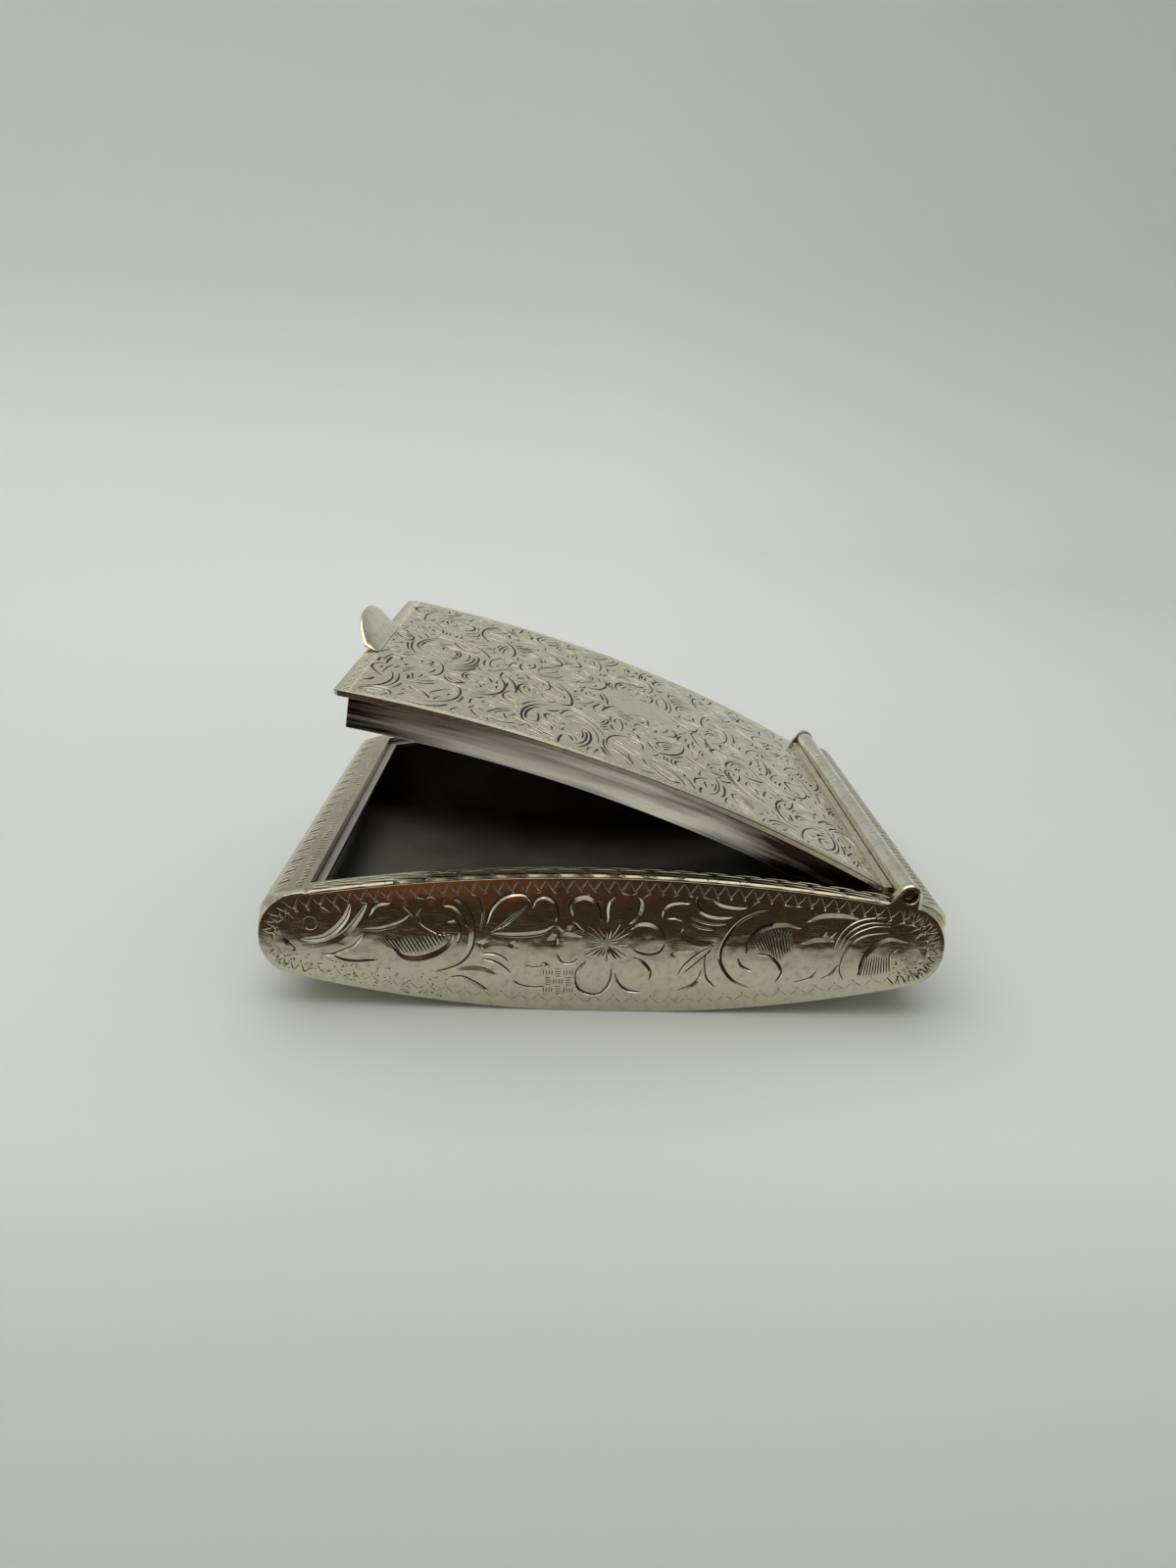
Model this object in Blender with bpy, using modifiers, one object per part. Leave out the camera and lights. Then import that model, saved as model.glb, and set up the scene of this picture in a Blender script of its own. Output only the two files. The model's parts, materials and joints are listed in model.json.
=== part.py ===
"""Silver cigarette case with a lens-shaped section, built from sheet as a silversmith would.

X runs from the thumb-piece end (-X) to the hinge end (+X), Y from the engraved front panel to
the back panel, Z up. The origin is under the middle of the case, on the surface it stands on.
The lid pieces are shaped shut, round the hinge axis, and an empty on that axis swings them open.
"""

import math

import bmesh
import bpy
from mathutils import Matrix, Vector

# Body, in metres. Its ends are upright for the length of END_WALL only, at a share of the height,
# and the wide arcs of the top and the bottom run from there to the middle of the case.
LENGTH = 0.0860
DEPTH = 0.0672
HEIGHT = 0.0189
FOOT_WIDTH = 0.0160
END_WALL = 0.0006
END_WALL_SHARE = 0.505
SHOULDER_RADIUS = 0.0033
HEEL_RADIUS = 0.0050
SHEET = 0.0008
SOLDER_SEAM = 0.00005

# Flat end panels: their outer face has rounder corners than the body behind, so a bright
# bevelled edge shows at each shoulder.
PANEL_SHEET = 0.0012
PANEL_SHOULDER_RADIUS = 0.0058
PANEL_EDGE_WEAR = 0.00015

# Rim round the opening, and the ledge soldered under it that the shut lid rests on.
SIDE_RIM_WIDTH = 0.0029
THUMB_RIM_WIDTH = 0.0062
LEDGE_SHEET = 0.0006
SIDE_LEDGE_STEP = 0.0017
THUMB_LEDGE_STEP = 0.0014
LEDGE_LAP = 0.0022

# Hinge: a barrel of knuckles on top of the case, between an ear of each end panel.
HINGE_INSET = 0.0052
HINGE_RISE = 0.00127
BARREL_RADIUS = 0.00135
PIN_RADIUS = 0.00075
PIN_CLEARANCE = 0.00005
PIN_RECESS = 0.0003
PIN_CHAMFER = 0.00012
EAR_RADIUS = 0.0015
EAR_FOOT_REACH = 0.00245
EAR_HOLE_RADIUS = 0.00095
KNUCKLE_GAP = 0.0001

# Bearers: strips with a hollowed face that cradles the barrel, one soldered to the body and one
# to the lid.
COVE_CLEARANCE = 0.00006
BEARER_LIP = 0.00024
BASE_BEARER_REACH = 0.0016
BASE_BEARER_DEPTH = 0.0027
LID_BEARER_REACH = 0.0023
RIM_HINGE_REACH = 0.0010

# Lid and the upright flange inside it, which grips the rim when the lid is shut.
LID_CLEARANCE = 0.00015
LID_SEAT_GAP = 0.0001
FLANGE_SHEET = 0.0007
FLANGE_HEIGHT = 0.0042
FLANGE_CLEARANCE = 0.0004
HINGE_FLANGE_SET = 0.0010

# Thumb-piece: a curved tab that leans out over the rim.
THUMB_WIDTH = 0.0190
THUMB_ROOT = 0.0019
THUMB_OVERHANG = 0.0031
THUMB_RISE = 0.0033
THUMB_END_SHARE = 0.14
# Each point of its section, as a share of the root, of the overhang and of the rise.
THUMB_SECTION_SHARES = (
    (1.00, 0.00, 0.00),
    (0.78, 0.12, 0.16),
    (0.52, 0.36, 0.45),
    (0.30, 0.66, 0.78),
    (0.18, 0.86, 0.97),
    (0.08, 0.96, 1.00),
    (0.00, 1.00, 0.93),
    (0.00, 0.70, 0.58),
    (0.00, 0.35, 0.24),
    (0.00, 0.00, 0.00),
)

# Angles. The coves are measured about the hinge axis, from +X towards +Z, with the lid shut.
LID_OPEN = math.radians(19.5)
FLANGE_LEAN = math.radians(11.5)
BASE_COVE = (math.radians(-95), math.radians(-15))
LID_COVE = (math.radians(195), math.radians(250))
SMOOTH_UP_TO = math.radians(30)

# Facets: along a wide arc, round a corner, round a barrel, along a cove, over an ear and along
# the thumb-piece.
ARC_STEPS = 20
CORNER_STEPS = 7
BARREL_STEPS = 28
COVE_STEPS = 8
EAR_STEPS = 9
THUMB_STEPS = 14

WELD_DISTANCE = 0.000001
CUT_OVERRUN = 0.001


def top_radius():
    """Radius of the top arc, which runs from the panels' shoulder arc over the full height."""
    radius = PANEL_SHOULDER_RADIUS
    x = LENGTH / 2 - radius
    rise = HEIGHT - END_WALL_SHARE * HEIGHT - END_WALL / 2
    return (x**2 + rise**2 - radius**2) / (2 * (rise - radius))


def bottom_radius():
    """Radius of the bottom arc, which runs from the heel arc to the edge of the flat foot."""
    radius = HEEL_RADIUS
    x = LENGTH / 2 - radius
    z = END_WALL_SHARE * HEIGHT - END_WALL / 2
    foot = FOOT_WIDTH / 2
    spread = x**2 + z**2 - foot**2 - radius**2
    lift = z**2 - radius**2
    root = (spread * radius) ** 2 + lift * (spread**2 + (2 * z * foot) ** 2)
    return (spread * radius + math.sqrt(root)) / (2 * lift)


# Worked out from the sizes above.
HALF_LENGTH = LENGTH / 2
HALF_DEPTH = DEPTH / 2
TOP_RADIUS = top_radius()
TOP_CENTRE_Z = HEIGHT - TOP_RADIUS
BOTTOM_RADIUS = bottom_radius()
FOOT_LEAN = math.asin(FOOT_WIDTH / 2 / BOTTOM_RADIUS)
BOTTOM_CENTRE_Z = BOTTOM_RADIUS * math.cos(FOOT_LEAN)
INNER_Y = HALF_DEPTH - PANEL_SHEET - SOLDER_SEAM
OPENING_X = THUMB_RIM_WIDTH - HALF_LENGTH
OPENING_Y = HALF_DEPTH - SIDE_RIM_WIDTH
LEDGE_TOP = SHEET + SOLDER_SEAM
LEDGE_UNDERSIDE = LEDGE_TOP + LEDGE_SHEET
LEDGE_Y = OPENING_Y - SIDE_LEDGE_STEP
HINGE_X = HALF_LENGTH - HINGE_INSET
COVE_RADIUS = BARREL_RADIUS + COVE_CLEARANCE
BASE_BEARER_LEFT_X = HINGE_X + COVE_RADIUS * math.cos(BASE_COVE[0])
LID_SHEET = LEDGE_TOP - LID_SEAT_GAP
LID_X = OPENING_X + LID_CLEARANCE
LID_Y = OPENING_Y - LID_CLEARANCE
LID_PLATE_END_X = HINGE_X - LID_BEARER_REACH - SOLDER_SEAM
FLANGE_TOP = LID_SHEET + SOLDER_SEAM
FLANGE_X = LID_X - LID_CLEARANCE + THUMB_LEDGE_STEP + FLANGE_CLEARANCE
FLANGE_Y = LEDGE_Y - FLANGE_CLEARANCE
FLANGE_END_X = LID_PLATE_END_X - HINGE_FLANGE_SET


def top_z(x, inset=0.0):
    """Height of the wide top arc at x, or of a surface that lies inset below it."""
    return TOP_CENTRE_Z + math.sqrt((TOP_RADIUS - inset) ** 2 - x**2)


HINGE_Z = top_z(HINGE_X) + HINGE_RISE


def between(start, end, steps):
    """Evenly spaced values from start to end, both included."""
    return [start + (end - start) * step / steps for step in range(steps + 1)]


def mirrored(points):
    """The same path on the -X side, run the other way."""
    return [(-x, z) for x, z in reversed(points)]


def arc(centre, radius, start, end, steps):
    """Points round a centre, by angle from +X towards +Z."""
    return [
        (centre[0] + radius * math.cos(angle), centre[1] + radius * math.sin(angle))
        for angle in between(start, end, steps)
    ]


def shoulder_centre(radius):
    """Centre of the corner arc that joins the top arc to the upright end wall at +X."""
    x = HALF_LENGTH - radius
    return x, TOP_CENTRE_Z + math.sqrt((TOP_RADIUS - radius) ** 2 - x**2)


def shoulder_lean(radius):
    """How far the surface leans from level where the top arc runs into the corner arc."""
    x, z = shoulder_centre(radius)
    return math.atan2(x, z - TOP_CENTRE_Z)


def top_lean(x, radius, inset):
    """How far the top outline leans from level at a place on the +X side."""
    if x <= (TOP_RADIUS - inset) * math.sin(shoulder_lean(radius)):
        return math.asin(x / (TOP_RADIUS - inset))
    return math.asin((x - shoulder_centre(radius)[0]) / (radius - inset))


def shoulder_path(start_x, radius, inset=0.0):
    """From a place on the top outline, on the +X side, over the shoulder to the end wall."""
    x, z = shoulder_centre(radius)
    path = []
    for lean in between(top_lean(start_x, radius, inset), math.pi / 2, CORNER_STEPS):
        if lean <= shoulder_lean(radius):
            reach = TOP_RADIUS - inset
            path.append((reach * math.sin(lean), TOP_CENTRE_Z + reach * math.cos(lean)))
        else:
            reach = radius - inset
            path.append((x + reach * math.sin(lean), z + reach * math.cos(lean)))
    return path


def top_path(start_x, end_x, inset=0.0):
    return [(x, top_z(x, inset)) for x in between(start_x, end_x, ARC_STEPS)]


def bottom_path(inset=0.0, foot=True):
    """From the end wall at +X round the heel, under the case and up to the end wall at -X."""
    x = HALF_LENGTH - HEEL_RADIUS
    z = BOTTOM_CENTRE_Z - math.sqrt((BOTTOM_RADIUS - HEEL_RADIUS) ** 2 - x**2)
    tangent = math.atan2(z - BOTTOM_CENTRE_Z, x)
    last = FOOT_LEAN - math.pi / 2 if foot else -math.pi / 2
    heel = arc((x, z), HEEL_RADIUS - inset, 0.0, tangent, CORNER_STEPS)
    under = arc((0.0, BOTTOM_CENTRE_Z), BOTTOM_RADIUS - inset, tangent, last, ARC_STEPS // 2)
    half = heel + under[1:]
    return half + mirrored(half)[0 if foot else 1 :]


def ear_path(wear):
    """Over the hinge ear: up a slope from the top arc, round its top and on to its far side."""
    centre = Vector((HINGE_X, HINGE_Z))
    radius = EAR_RADIUS - wear
    foot_x = HINGE_X - EAR_FOOT_REACH
    foot = Vector((foot_x, top_z(foot_x, wear)))
    from_centre = foot - centre
    slope_meets = math.atan2(from_centre.y, from_centre.x) % math.tau
    slope_meets -= math.acos(radius / from_centre.length)
    return [tuple(foot)] + arc(centre, radius, slope_meets, 0.0, EAR_STEPS)


def panel_path(radius, wear):
    """Whole outline of an end panel, ear included, at one depth in its thickness."""
    level_end_x = TOP_RADIUS * math.sin(shoulder_lean(PANEL_SHOULDER_RADIUS))
    thumb_end = mirrored(shoulder_path(level_end_x, radius, wear))
    top = top_path(-level_end_x, HINGE_X - EAR_FOOT_REACH, wear)[1:-1]
    hinge_end = shoulder_path(HINGE_X + EAR_RADIUS - wear, radius, wear)
    return thumb_end + top + ear_path(wear) + hinge_end + bottom_path(wear)


def metal(name, colour, roughness):
    material = bpy.data.materials.new(name)
    material.use_nodes = True
    shader = material.node_tree.nodes["Principled BSDF"]
    shader.inputs["Base Color"].default_value = (*colour, 1.0)
    shader.inputs["Metallic"].default_value = 1.0
    shader.inputs["Roughness"].default_value = roughness
    material.diffuse_color = (*colour, 1.0)
    return material


def collection(name):
    made = bpy.data.collections.new(name)
    bpy.context.scene.collection.children.link(made)
    return made


class Maker:
    """Adds pieces to the case: body pieces where they lie, lid pieces round the hinge empty."""

    def __init__(self):
        self.case = collection("cigarette_case")
        self.cutters = collection("cutters")
        self.hinge = bpy.data.objects.new("lid_hinge", None)
        self.hinge.empty_display_size = SIDE_RIM_WIDTH
        self.hinge.location = (HINGE_X, 0.0, HINGE_Z)
        self.hinge.rotation_euler = (0.0, LID_OPEN, 0.0)
        self.case.objects.link(self.hinge)

    def place(self, name, mesh, material, on_lid, y=0.0):
        piece = bpy.data.objects.new(name, mesh)
        piece.location = (0.0, y, 0.0)
        mesh.materials.clear()
        mesh.materials.append(material)
        mesh.shade_smooth()
        mesh.set_sharp_from_angle(angle=SMOOTH_UP_TO)
        if on_lid:
            mesh.transform(Matrix.Translation((-HINGE_X, 0.0, -HINGE_Z)))
            piece.parent = self.hinge
        self.case.objects.link(piece)
        return piece

    def extruded(self, name, paths, start_y, end_y, material, on_lid=False):
        """A flat outline in X and Z, with any holes, carried from start_y to end_y."""
        curve = bpy.data.curves.new(name, "CURVE")
        curve.dimensions = "2D"
        curve.fill_mode = "BOTH"
        curve.extrude = abs(end_y - start_y) / 2
        for path in paths:
            spline = curve.splines.new("POLY")
            spline.points.add(len(path) - 1)
            spline.use_cyclic_u = True
            for point, (x, z) in zip(spline.points, path):
                point.co = (x, z, 0.0, 1.0)
        outline = bpy.data.objects.new(name + "_outline", curve)
        self.cutters.objects.link(outline)
        graph = bpy.context.evaluated_depsgraph_get()
        mesh = bpy.data.meshes.new_from_object(outline.evaluated_get(graph))
        bpy.data.objects.remove(outline)
        bpy.data.curves.remove(curve)
        mesh.name = name
        mesh.transform(Matrix.Rotation(math.pi / 2, 4, "X"))
        weld(mesh)
        return self.place(name, mesh, material, on_lid, (start_y + end_y) / 2)

    def lofted(self, name, rings, material, on_lid=False):
        """A closed body through rings of as many points each, such as unlike sections."""
        shape = bmesh.new()
        loops = [[shape.verts.new(point) for point in ring] for ring in rings]
        for near, far in zip(loops, loops[1:]):
            for at, point in enumerate(near):
                shape.faces.new((near[at - 1], point, far[at], far[at - 1]))
        shape.faces.new(loops[0])
        shape.faces.new(loops[-1])
        mesh = bpy.data.meshes.new(name)
        shape.to_mesh(mesh)
        shape.free()
        weld(mesh)
        return self.place(name, mesh, material, on_lid)


def weld(mesh):
    shape = bmesh.new()
    shape.from_mesh(mesh)
    bmesh.ops.remove_doubles(shape, verts=shape.verts, dist=WELD_DISTANCE)
    bmesh.ops.recalc_face_normals(shape, faces=shape.faces)
    shape.to_mesh(mesh)
    shape.free()


def arc_strip(start_x, end_x, upper, lower, lower_start_x=None):
    """Section of a strip that follows the top arc, from one depth below it to another."""
    if lower_start_x is None:
        lower_start_x = start_x
    return [top_path(start_x, end_x, upper) + top_path(end_x, lower_start_x, lower)]


def round_hole(radius):
    return arc((HINGE_X, HINGE_Z), radius, 0.0, math.tau, BARREL_STEPS)[:-1]


def rod(length, radius):
    """A cylinder along Y on the hinge axis."""
    shape = bmesh.new()
    turn = Matrix.Translation((HINGE_X, 0.0, HINGE_Z)) @ Matrix.Rotation(math.pi / 2, 4, "X")
    bmesh.ops.create_cone(
        shape,
        cap_ends=True,
        segments=BARREL_STEPS,
        radius1=radius,
        radius2=radius,
        depth=length,
        matrix=turn,
    )
    mesh = bpy.data.meshes.new("rod")
    shape.to_mesh(mesh)
    shape.free()
    return mesh


def add_wrap(maker, silver):
    """The bottom and both rounded ends, rolled from one sheet up to the rim's seams."""
    seam_z = shoulder_centre(SHOULDER_RADIUS)[1] - SOLDER_SEAM
    outside = [(HALF_LENGTH, seam_z)] + bottom_path() + [(-HALF_LENGTH, seam_z)]
    inner_x = HALF_LENGTH - SHEET
    inside = [(inner_x, seam_z)] + bottom_path(SHEET, foot=False) + [(-inner_x, seam_z)]
    maker.extruded("bottom_wrap", [outside + inside[::-1]], -INNER_Y, INNER_Y, silver)


def add_panels(maker, silver):
    """Front and back panels: a bevelled plate each, with an ear bored for the hinge pin."""
    cutter = bpy.data.objects.new("ear_bore", rod(DEPTH + CUT_OVERRUN, EAR_HOLE_RADIUS))
    cutter.hide_render = True
    cutter.display_type = "WIRE"
    maker.cutters.objects.link(cutter)
    for name, side in (("front_panel", -1), ("back_panel", 1)):
        outer = panel_path(PANEL_SHOULDER_RADIUS, PANEL_EDGE_WEAR)
        inner = panel_path(SHOULDER_RADIUS, 0.0)
        outer_y = side * HALF_DEPTH
        worn_y = side * (HALF_DEPTH - PANEL_EDGE_WEAR)
        inner_y = side * (HALF_DEPTH - PANEL_SHEET)
        shelf = panel_path(PANEL_SHOULDER_RADIUS, 0.0)
        rings = [
            [(x, outer_y, z) for x, z in outer],
            [(x, worn_y, z) for x, z in shelf],
            [(x, inner_y, z) for x, z in inner],
        ]
        panel = maker.lofted(name, rings, silver)
        bore = panel.modifiers.new("ear_bore", "BOOLEAN")
        bore.operation = "DIFFERENCE"
        bore.object = cutter


def add_rim(maker, silver):
    """Four strips of sheet round the opening, with the hinge end outside the barrel."""
    thumb_end = shoulder_path(-OPENING_X, SHOULDER_RADIUS)
    thumb_inside = shoulder_path(-OPENING_X, SHOULDER_RADIUS, SHEET)
    section = [mirrored(thumb_end + thumb_inside[::-1])]
    maker.extruded("thumb_end_rim", section, -INNER_Y, INNER_Y, silver)
    start_x = HINGE_X + BASE_BEARER_REACH + SOLDER_SEAM
    hinge_end = shoulder_path(start_x, SHOULDER_RADIUS)
    hinge_inside = shoulder_path(start_x, SHOULDER_RADIUS, SHEET)
    section = [hinge_end + hinge_inside[::-1]]
    maker.extruded("hinge_end_rim", section, -INNER_Y, INNER_Y, silver)
    section = arc_strip(OPENING_X + SOLDER_SEAM, HINGE_X - RIM_HINGE_REACH, 0.0, SHEET)
    maker.extruded("front_rim", section, -INNER_Y, -OPENING_Y, silver)
    maker.extruded("back_rim", section, OPENING_Y, INNER_Y, silver)


def add_ledges(maker, silver):
    """Narrow strips under the rim that stand out into the opening."""
    start_x = OPENING_X - LEDGE_LAP
    side = arc_strip(start_x, BASE_BEARER_LEFT_X - SOLDER_SEAM, LEDGE_TOP, LEDGE_UNDERSIDE)
    maker.extruded("front_ledge", side, -INNER_Y, -LEDGE_Y, silver)
    maker.extruded("back_ledge", side, LEDGE_Y, INNER_Y, silver)
    end = arc_strip(start_x, OPENING_X + THUMB_LEDGE_STEP, LEDGE_TOP, LEDGE_UNDERSIDE)
    end_y = LEDGE_Y - SOLDER_SEAM
    maker.extruded("thumb_end_ledge", end, -end_y, end_y, silver)


def add_base_bearer(maker, silver):
    cove = arc((HINGE_X, HINGE_Z), COVE_RADIUS, *BASE_COVE, COVE_STEPS)
    right_x = HINGE_X + BASE_BEARER_REACH
    bottom_z = HINGE_Z - BASE_BEARER_DEPTH
    lip_z = cove[-1][1] - BEARER_LIP / 2
    section = cove + [(right_x, lip_z), (right_x, bottom_z), (cove[0][0], bottom_z)]
    maker.extruded("base_hinge_bearer", [section], -INNER_Y, INNER_Y, silver)


def add_barrel(maker, silver, brass):
    """Knuckles in turn on the body and on the lid, and the pin through them all."""
    bore = PIN_RADIUS + PIN_CLEARANCE
    section = [round_hole(BARREL_RADIUS), round_hole(bore)]
    names = (
        "base_knuckle_front",
        "lid_knuckle_front",
        "base_knuckle_middle",
        "lid_knuckle_back",
        "base_knuckle_back",
    )
    pitch = 2 * INNER_Y / len(names)
    for place, name in enumerate(names):
        start_y = pitch * place - INNER_Y + KNUCKLE_GAP / 2
        end_y = start_y + pitch - KNUCKLE_GAP
        on_lid = name.startswith("lid")
        maker.extruded(name, section, start_y, end_y, silver, on_lid)
    pin = maker.place("hinge_pin", rod(DEPTH - 2 * PIN_RECESS, PIN_RADIUS), brass, False)
    chamfer = pin.modifiers.new("worn_ends", "BEVEL")
    chamfer.width = PIN_CHAMFER
    chamfer.segments = 1


def add_lid_plate(maker, silver):
    section = arc_strip(LID_X, LID_PLATE_END_X, 0.0, LID_SHEET)
    maker.extruded("lid_plate", section, -LID_Y, LID_Y, silver, on_lid=True)


def add_lid_bearer(maker, silver):
    cove = arc((HINGE_X, HINGE_Z), COVE_RADIUS, *LID_COVE, COVE_STEPS)
    left_x = HINGE_X - LID_BEARER_REACH
    underside_z = top_z(left_x, LID_SHEET)
    lip = (cove[0][0] - BEARER_LIP, cove[0][1] - BEARER_LIP / 2)
    section = cove + [(cove[-1][0], underside_z), (left_x, underside_z), (left_x, top_z(left_x)), lip]
    maker.extruded("lid_hinge_bearer", [section], -LID_Y, LID_Y, silver, on_lid=True)


def add_flange(maker, silver):
    """Four upright strips under the lid. The one at the thumb-piece leans in, to swing clear."""
    lower = FLANGE_TOP + FLANGE_HEIGHT
    lean_in = FLANGE_HEIGHT * math.tan(FLANGE_LEAN)
    side = arc_strip(FLANGE_X, FLANGE_END_X, FLANGE_TOP, lower, FLANGE_X + lean_in)
    inner_y = FLANGE_Y - FLANGE_SHEET
    maker.extruded("lid_front_flange", side, -FLANGE_Y, -inner_y, silver, on_lid=True)
    maker.extruded("lid_back_flange", side, inner_y, FLANGE_Y, silver, on_lid=True)
    end_y = inner_y - SOLDER_SEAM
    far_x = FLANGE_X + FLANGE_SHEET
    section = [
        (FLANGE_X, top_z(FLANGE_X, FLANGE_TOP)),
        (far_x, top_z(far_x, FLANGE_TOP)),
        (far_x + lean_in, top_z(far_x + lean_in, lower)),
        (FLANGE_X + lean_in, top_z(FLANGE_X + lean_in, lower)),
    ]
    maker.extruded("lid_thumb_end_flange", [section], -end_y, end_y, silver, on_lid=True)
    near_x = FLANGE_END_X - FLANGE_SHEET
    section = [
        (near_x, top_z(near_x, FLANGE_TOP)),
        (FLANGE_END_X, top_z(FLANGE_END_X, FLANGE_TOP)),
        (FLANGE_END_X, top_z(FLANGE_END_X, lower)),
        (near_x, top_z(near_x, lower)),
    ]
    maker.extruded("lid_hinge_end_flange", [section], -end_y, end_y, silver, on_lid=True)


def add_thumb_piece(maker, silver):
    """Sections along Y that all stand on the lid's edge and swell towards the middle."""
    rings = []
    for turn in between(0.0, math.pi, THUMB_STEPS):
        swell = max(math.sin(turn), THUMB_END_SHARE)
        y = -THUMB_WIDTH / 2 * math.cos(turn)
        ring = []
        for root, overhang, rise in THUMB_SECTION_SHARES:
            x = LID_X + THUMB_ROOT * root - THUMB_OVERHANG * overhang * swell
            seat_z = top_z(max(x, LID_X)) + SOLDER_SEAM
            ring.append((x, y, seat_z + THUMB_RISE * rise * swell))
        rings.append(ring)
    maker.lofted("thumb_piece", rings, silver, on_lid=True)


def build():
    for thing in list(bpy.data.objects):
        bpy.data.objects.remove(thing)
    outer_silver = metal("worn_engraved_silver", (0.72, 0.71, 0.64), 0.32)
    inner_silver = metal("dull_inner_silver", (0.30, 0.30, 0.29), 0.45)
    tarnished_silver = metal("tarnished_silver", (0.34, 0.28, 0.25), 0.30)
    brass = metal("brass", (0.62, 0.48, 0.22), 0.35)
    maker = Maker()
    add_wrap(maker, outer_silver)
    add_panels(maker, outer_silver)
    add_rim(maker, outer_silver)
    add_ledges(maker, inner_silver)
    add_base_bearer(maker, outer_silver)
    add_barrel(maker, outer_silver, brass)
    add_lid_plate(maker, outer_silver)
    add_lid_bearer(maker, outer_silver)
    add_flange(maker, tarnished_silver)
    add_thumb_piece(maker, outer_silver)


build()
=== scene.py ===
"""Looks of the engraved silver cigarette case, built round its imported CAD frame.

Lengths are millimetres in the CAD's own frame, and turn to metres where a mesh is made. X runs
from the thumb-piece end to the hinge end, -Y faces the viewer and Z is up. An engraved sheet is
drawn flat, with u along its curved section and v across it, and is then bent to its place.
"""

import json
import math
import random

import bmesh
import bpy
import numpy as np
from mathutils import Matrix, Vector
from mathutils.geometry import delaunay_2d_cdt


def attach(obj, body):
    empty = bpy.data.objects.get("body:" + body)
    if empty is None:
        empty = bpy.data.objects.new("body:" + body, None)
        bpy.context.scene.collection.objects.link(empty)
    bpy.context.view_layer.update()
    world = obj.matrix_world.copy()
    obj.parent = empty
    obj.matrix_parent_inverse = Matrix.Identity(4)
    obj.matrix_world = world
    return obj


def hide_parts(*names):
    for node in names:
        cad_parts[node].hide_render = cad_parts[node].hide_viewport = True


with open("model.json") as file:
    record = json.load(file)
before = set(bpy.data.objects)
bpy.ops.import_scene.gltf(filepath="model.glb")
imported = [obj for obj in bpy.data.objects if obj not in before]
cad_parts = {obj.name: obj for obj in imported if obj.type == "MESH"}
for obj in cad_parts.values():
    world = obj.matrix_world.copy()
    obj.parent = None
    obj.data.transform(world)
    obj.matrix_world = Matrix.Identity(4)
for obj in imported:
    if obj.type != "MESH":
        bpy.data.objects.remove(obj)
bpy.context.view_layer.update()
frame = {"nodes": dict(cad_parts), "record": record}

MM = 0.001

# The case's driving sizes, as in the CAD. Its ends are upright for the length of END_WALL only,
# at a share of the height, and the wide arcs of the top and the bottom run from there.
HALF_LENGTH = 43.0
HALF_DEPTH = 33.6
HEIGHT = 18.9
FOOT_HALF = 8.0
END_WALL = 0.6
END_WALL_SHARE = 0.505
SHOULDER_RADIUS = 3.3
PANEL_SHOULDER_RADIUS = 5.8
HEEL_RADIUS = 5.0
SHEET = 0.8
PANEL_SHEET = 1.2
SOLDER_SEAM = 0.05
SIDE_RIM_WIDTH = 2.9
THUMB_RIM_WIDTH = 6.2
BASE_BEARER_REACH = 1.6
LID_BEARER_REACH = 2.3
LID_CLEARANCE = 0.15
EAR_RADIUS = 1.5
EAR_FOOT_REACH = 2.45
EAR_HOLE_RADIUS = 0.95


def top_radius():
    """Radius of the top arc, which runs from the panels' shoulder arc over the full height."""
    x = HALF_LENGTH - PANEL_SHOULDER_RADIUS
    rise = HEIGHT - END_WALL_SHARE * HEIGHT - END_WALL / 2
    return (x**2 + rise**2 - PANEL_SHOULDER_RADIUS**2) / (2 * (rise - PANEL_SHOULDER_RADIUS))


def bottom_radius():
    """Radius of the bottom arc, which runs from the heel arc to the edge of the flat foot."""
    x = HALF_LENGTH - HEEL_RADIUS
    z = END_WALL_SHARE * HEIGHT - END_WALL / 2
    spread = x**2 + z**2 - FOOT_HALF**2 - HEEL_RADIUS**2
    lift = z**2 - HEEL_RADIUS**2
    root = (spread * HEEL_RADIUS) ** 2 + lift * (spread**2 + (2 * z * FOOT_HALF) ** 2)
    return (spread * HEEL_RADIUS + math.sqrt(root)) / (2 * lift)


# Worked out from the sizes above, with the radii to a tenth of a micrometre, and from the
# frame's one joint.
TOP_RADIUS = round(top_radius(), 4)
TOP_CENTRE_Z = HEIGHT - TOP_RADIUS
BOTTOM_RADIUS = round(bottom_radius(), 4)
FOOT_LEAN = math.asin(FOOT_HALF / BOTTOM_RADIUS)
FOOT_TURN = FOOT_LEAN - math.pi / 2
BOTTOM_CENTRE_Z = BOTTOM_RADIUS * math.cos(FOOT_LEAN)
HEEL_X = HALF_LENGTH - HEEL_RADIUS
HEEL_Z = BOTTOM_CENTRE_Z - math.sqrt((BOTTOM_RADIUS - HEEL_RADIUS) ** 2 - HEEL_X**2)
HEEL_TURN = math.atan2(HEEL_Z - BOTTOM_CENTRE_Z, HEEL_X)
PANEL_INNER_Y = HALF_DEPTH - PANEL_SHEET
OPENING_X = THUMB_RIM_WIDTH - HALF_LENGTH
OPENING_Y = HALF_DEPTH - SIDE_RIM_WIDTH
LID_X = OPENING_X + LID_CLEARANCE
LID_Y = OPENING_Y - LID_CLEARANCE
HINGE = frame["record"]["behaviour"]["joints"][0]
HINGE_X, _, HINGE_Z = (part / MM for part in HINGE["pos_m"])
LID_OPEN = math.radians(-HINGE["range_deg"][0])
LID_END_X = HINGE_X - LID_BEARER_REACH - SOLDER_SEAM
HINGE_RIM_X = HINGE_X + BASE_BEARER_REACH + SOLDER_SEAM
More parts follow.
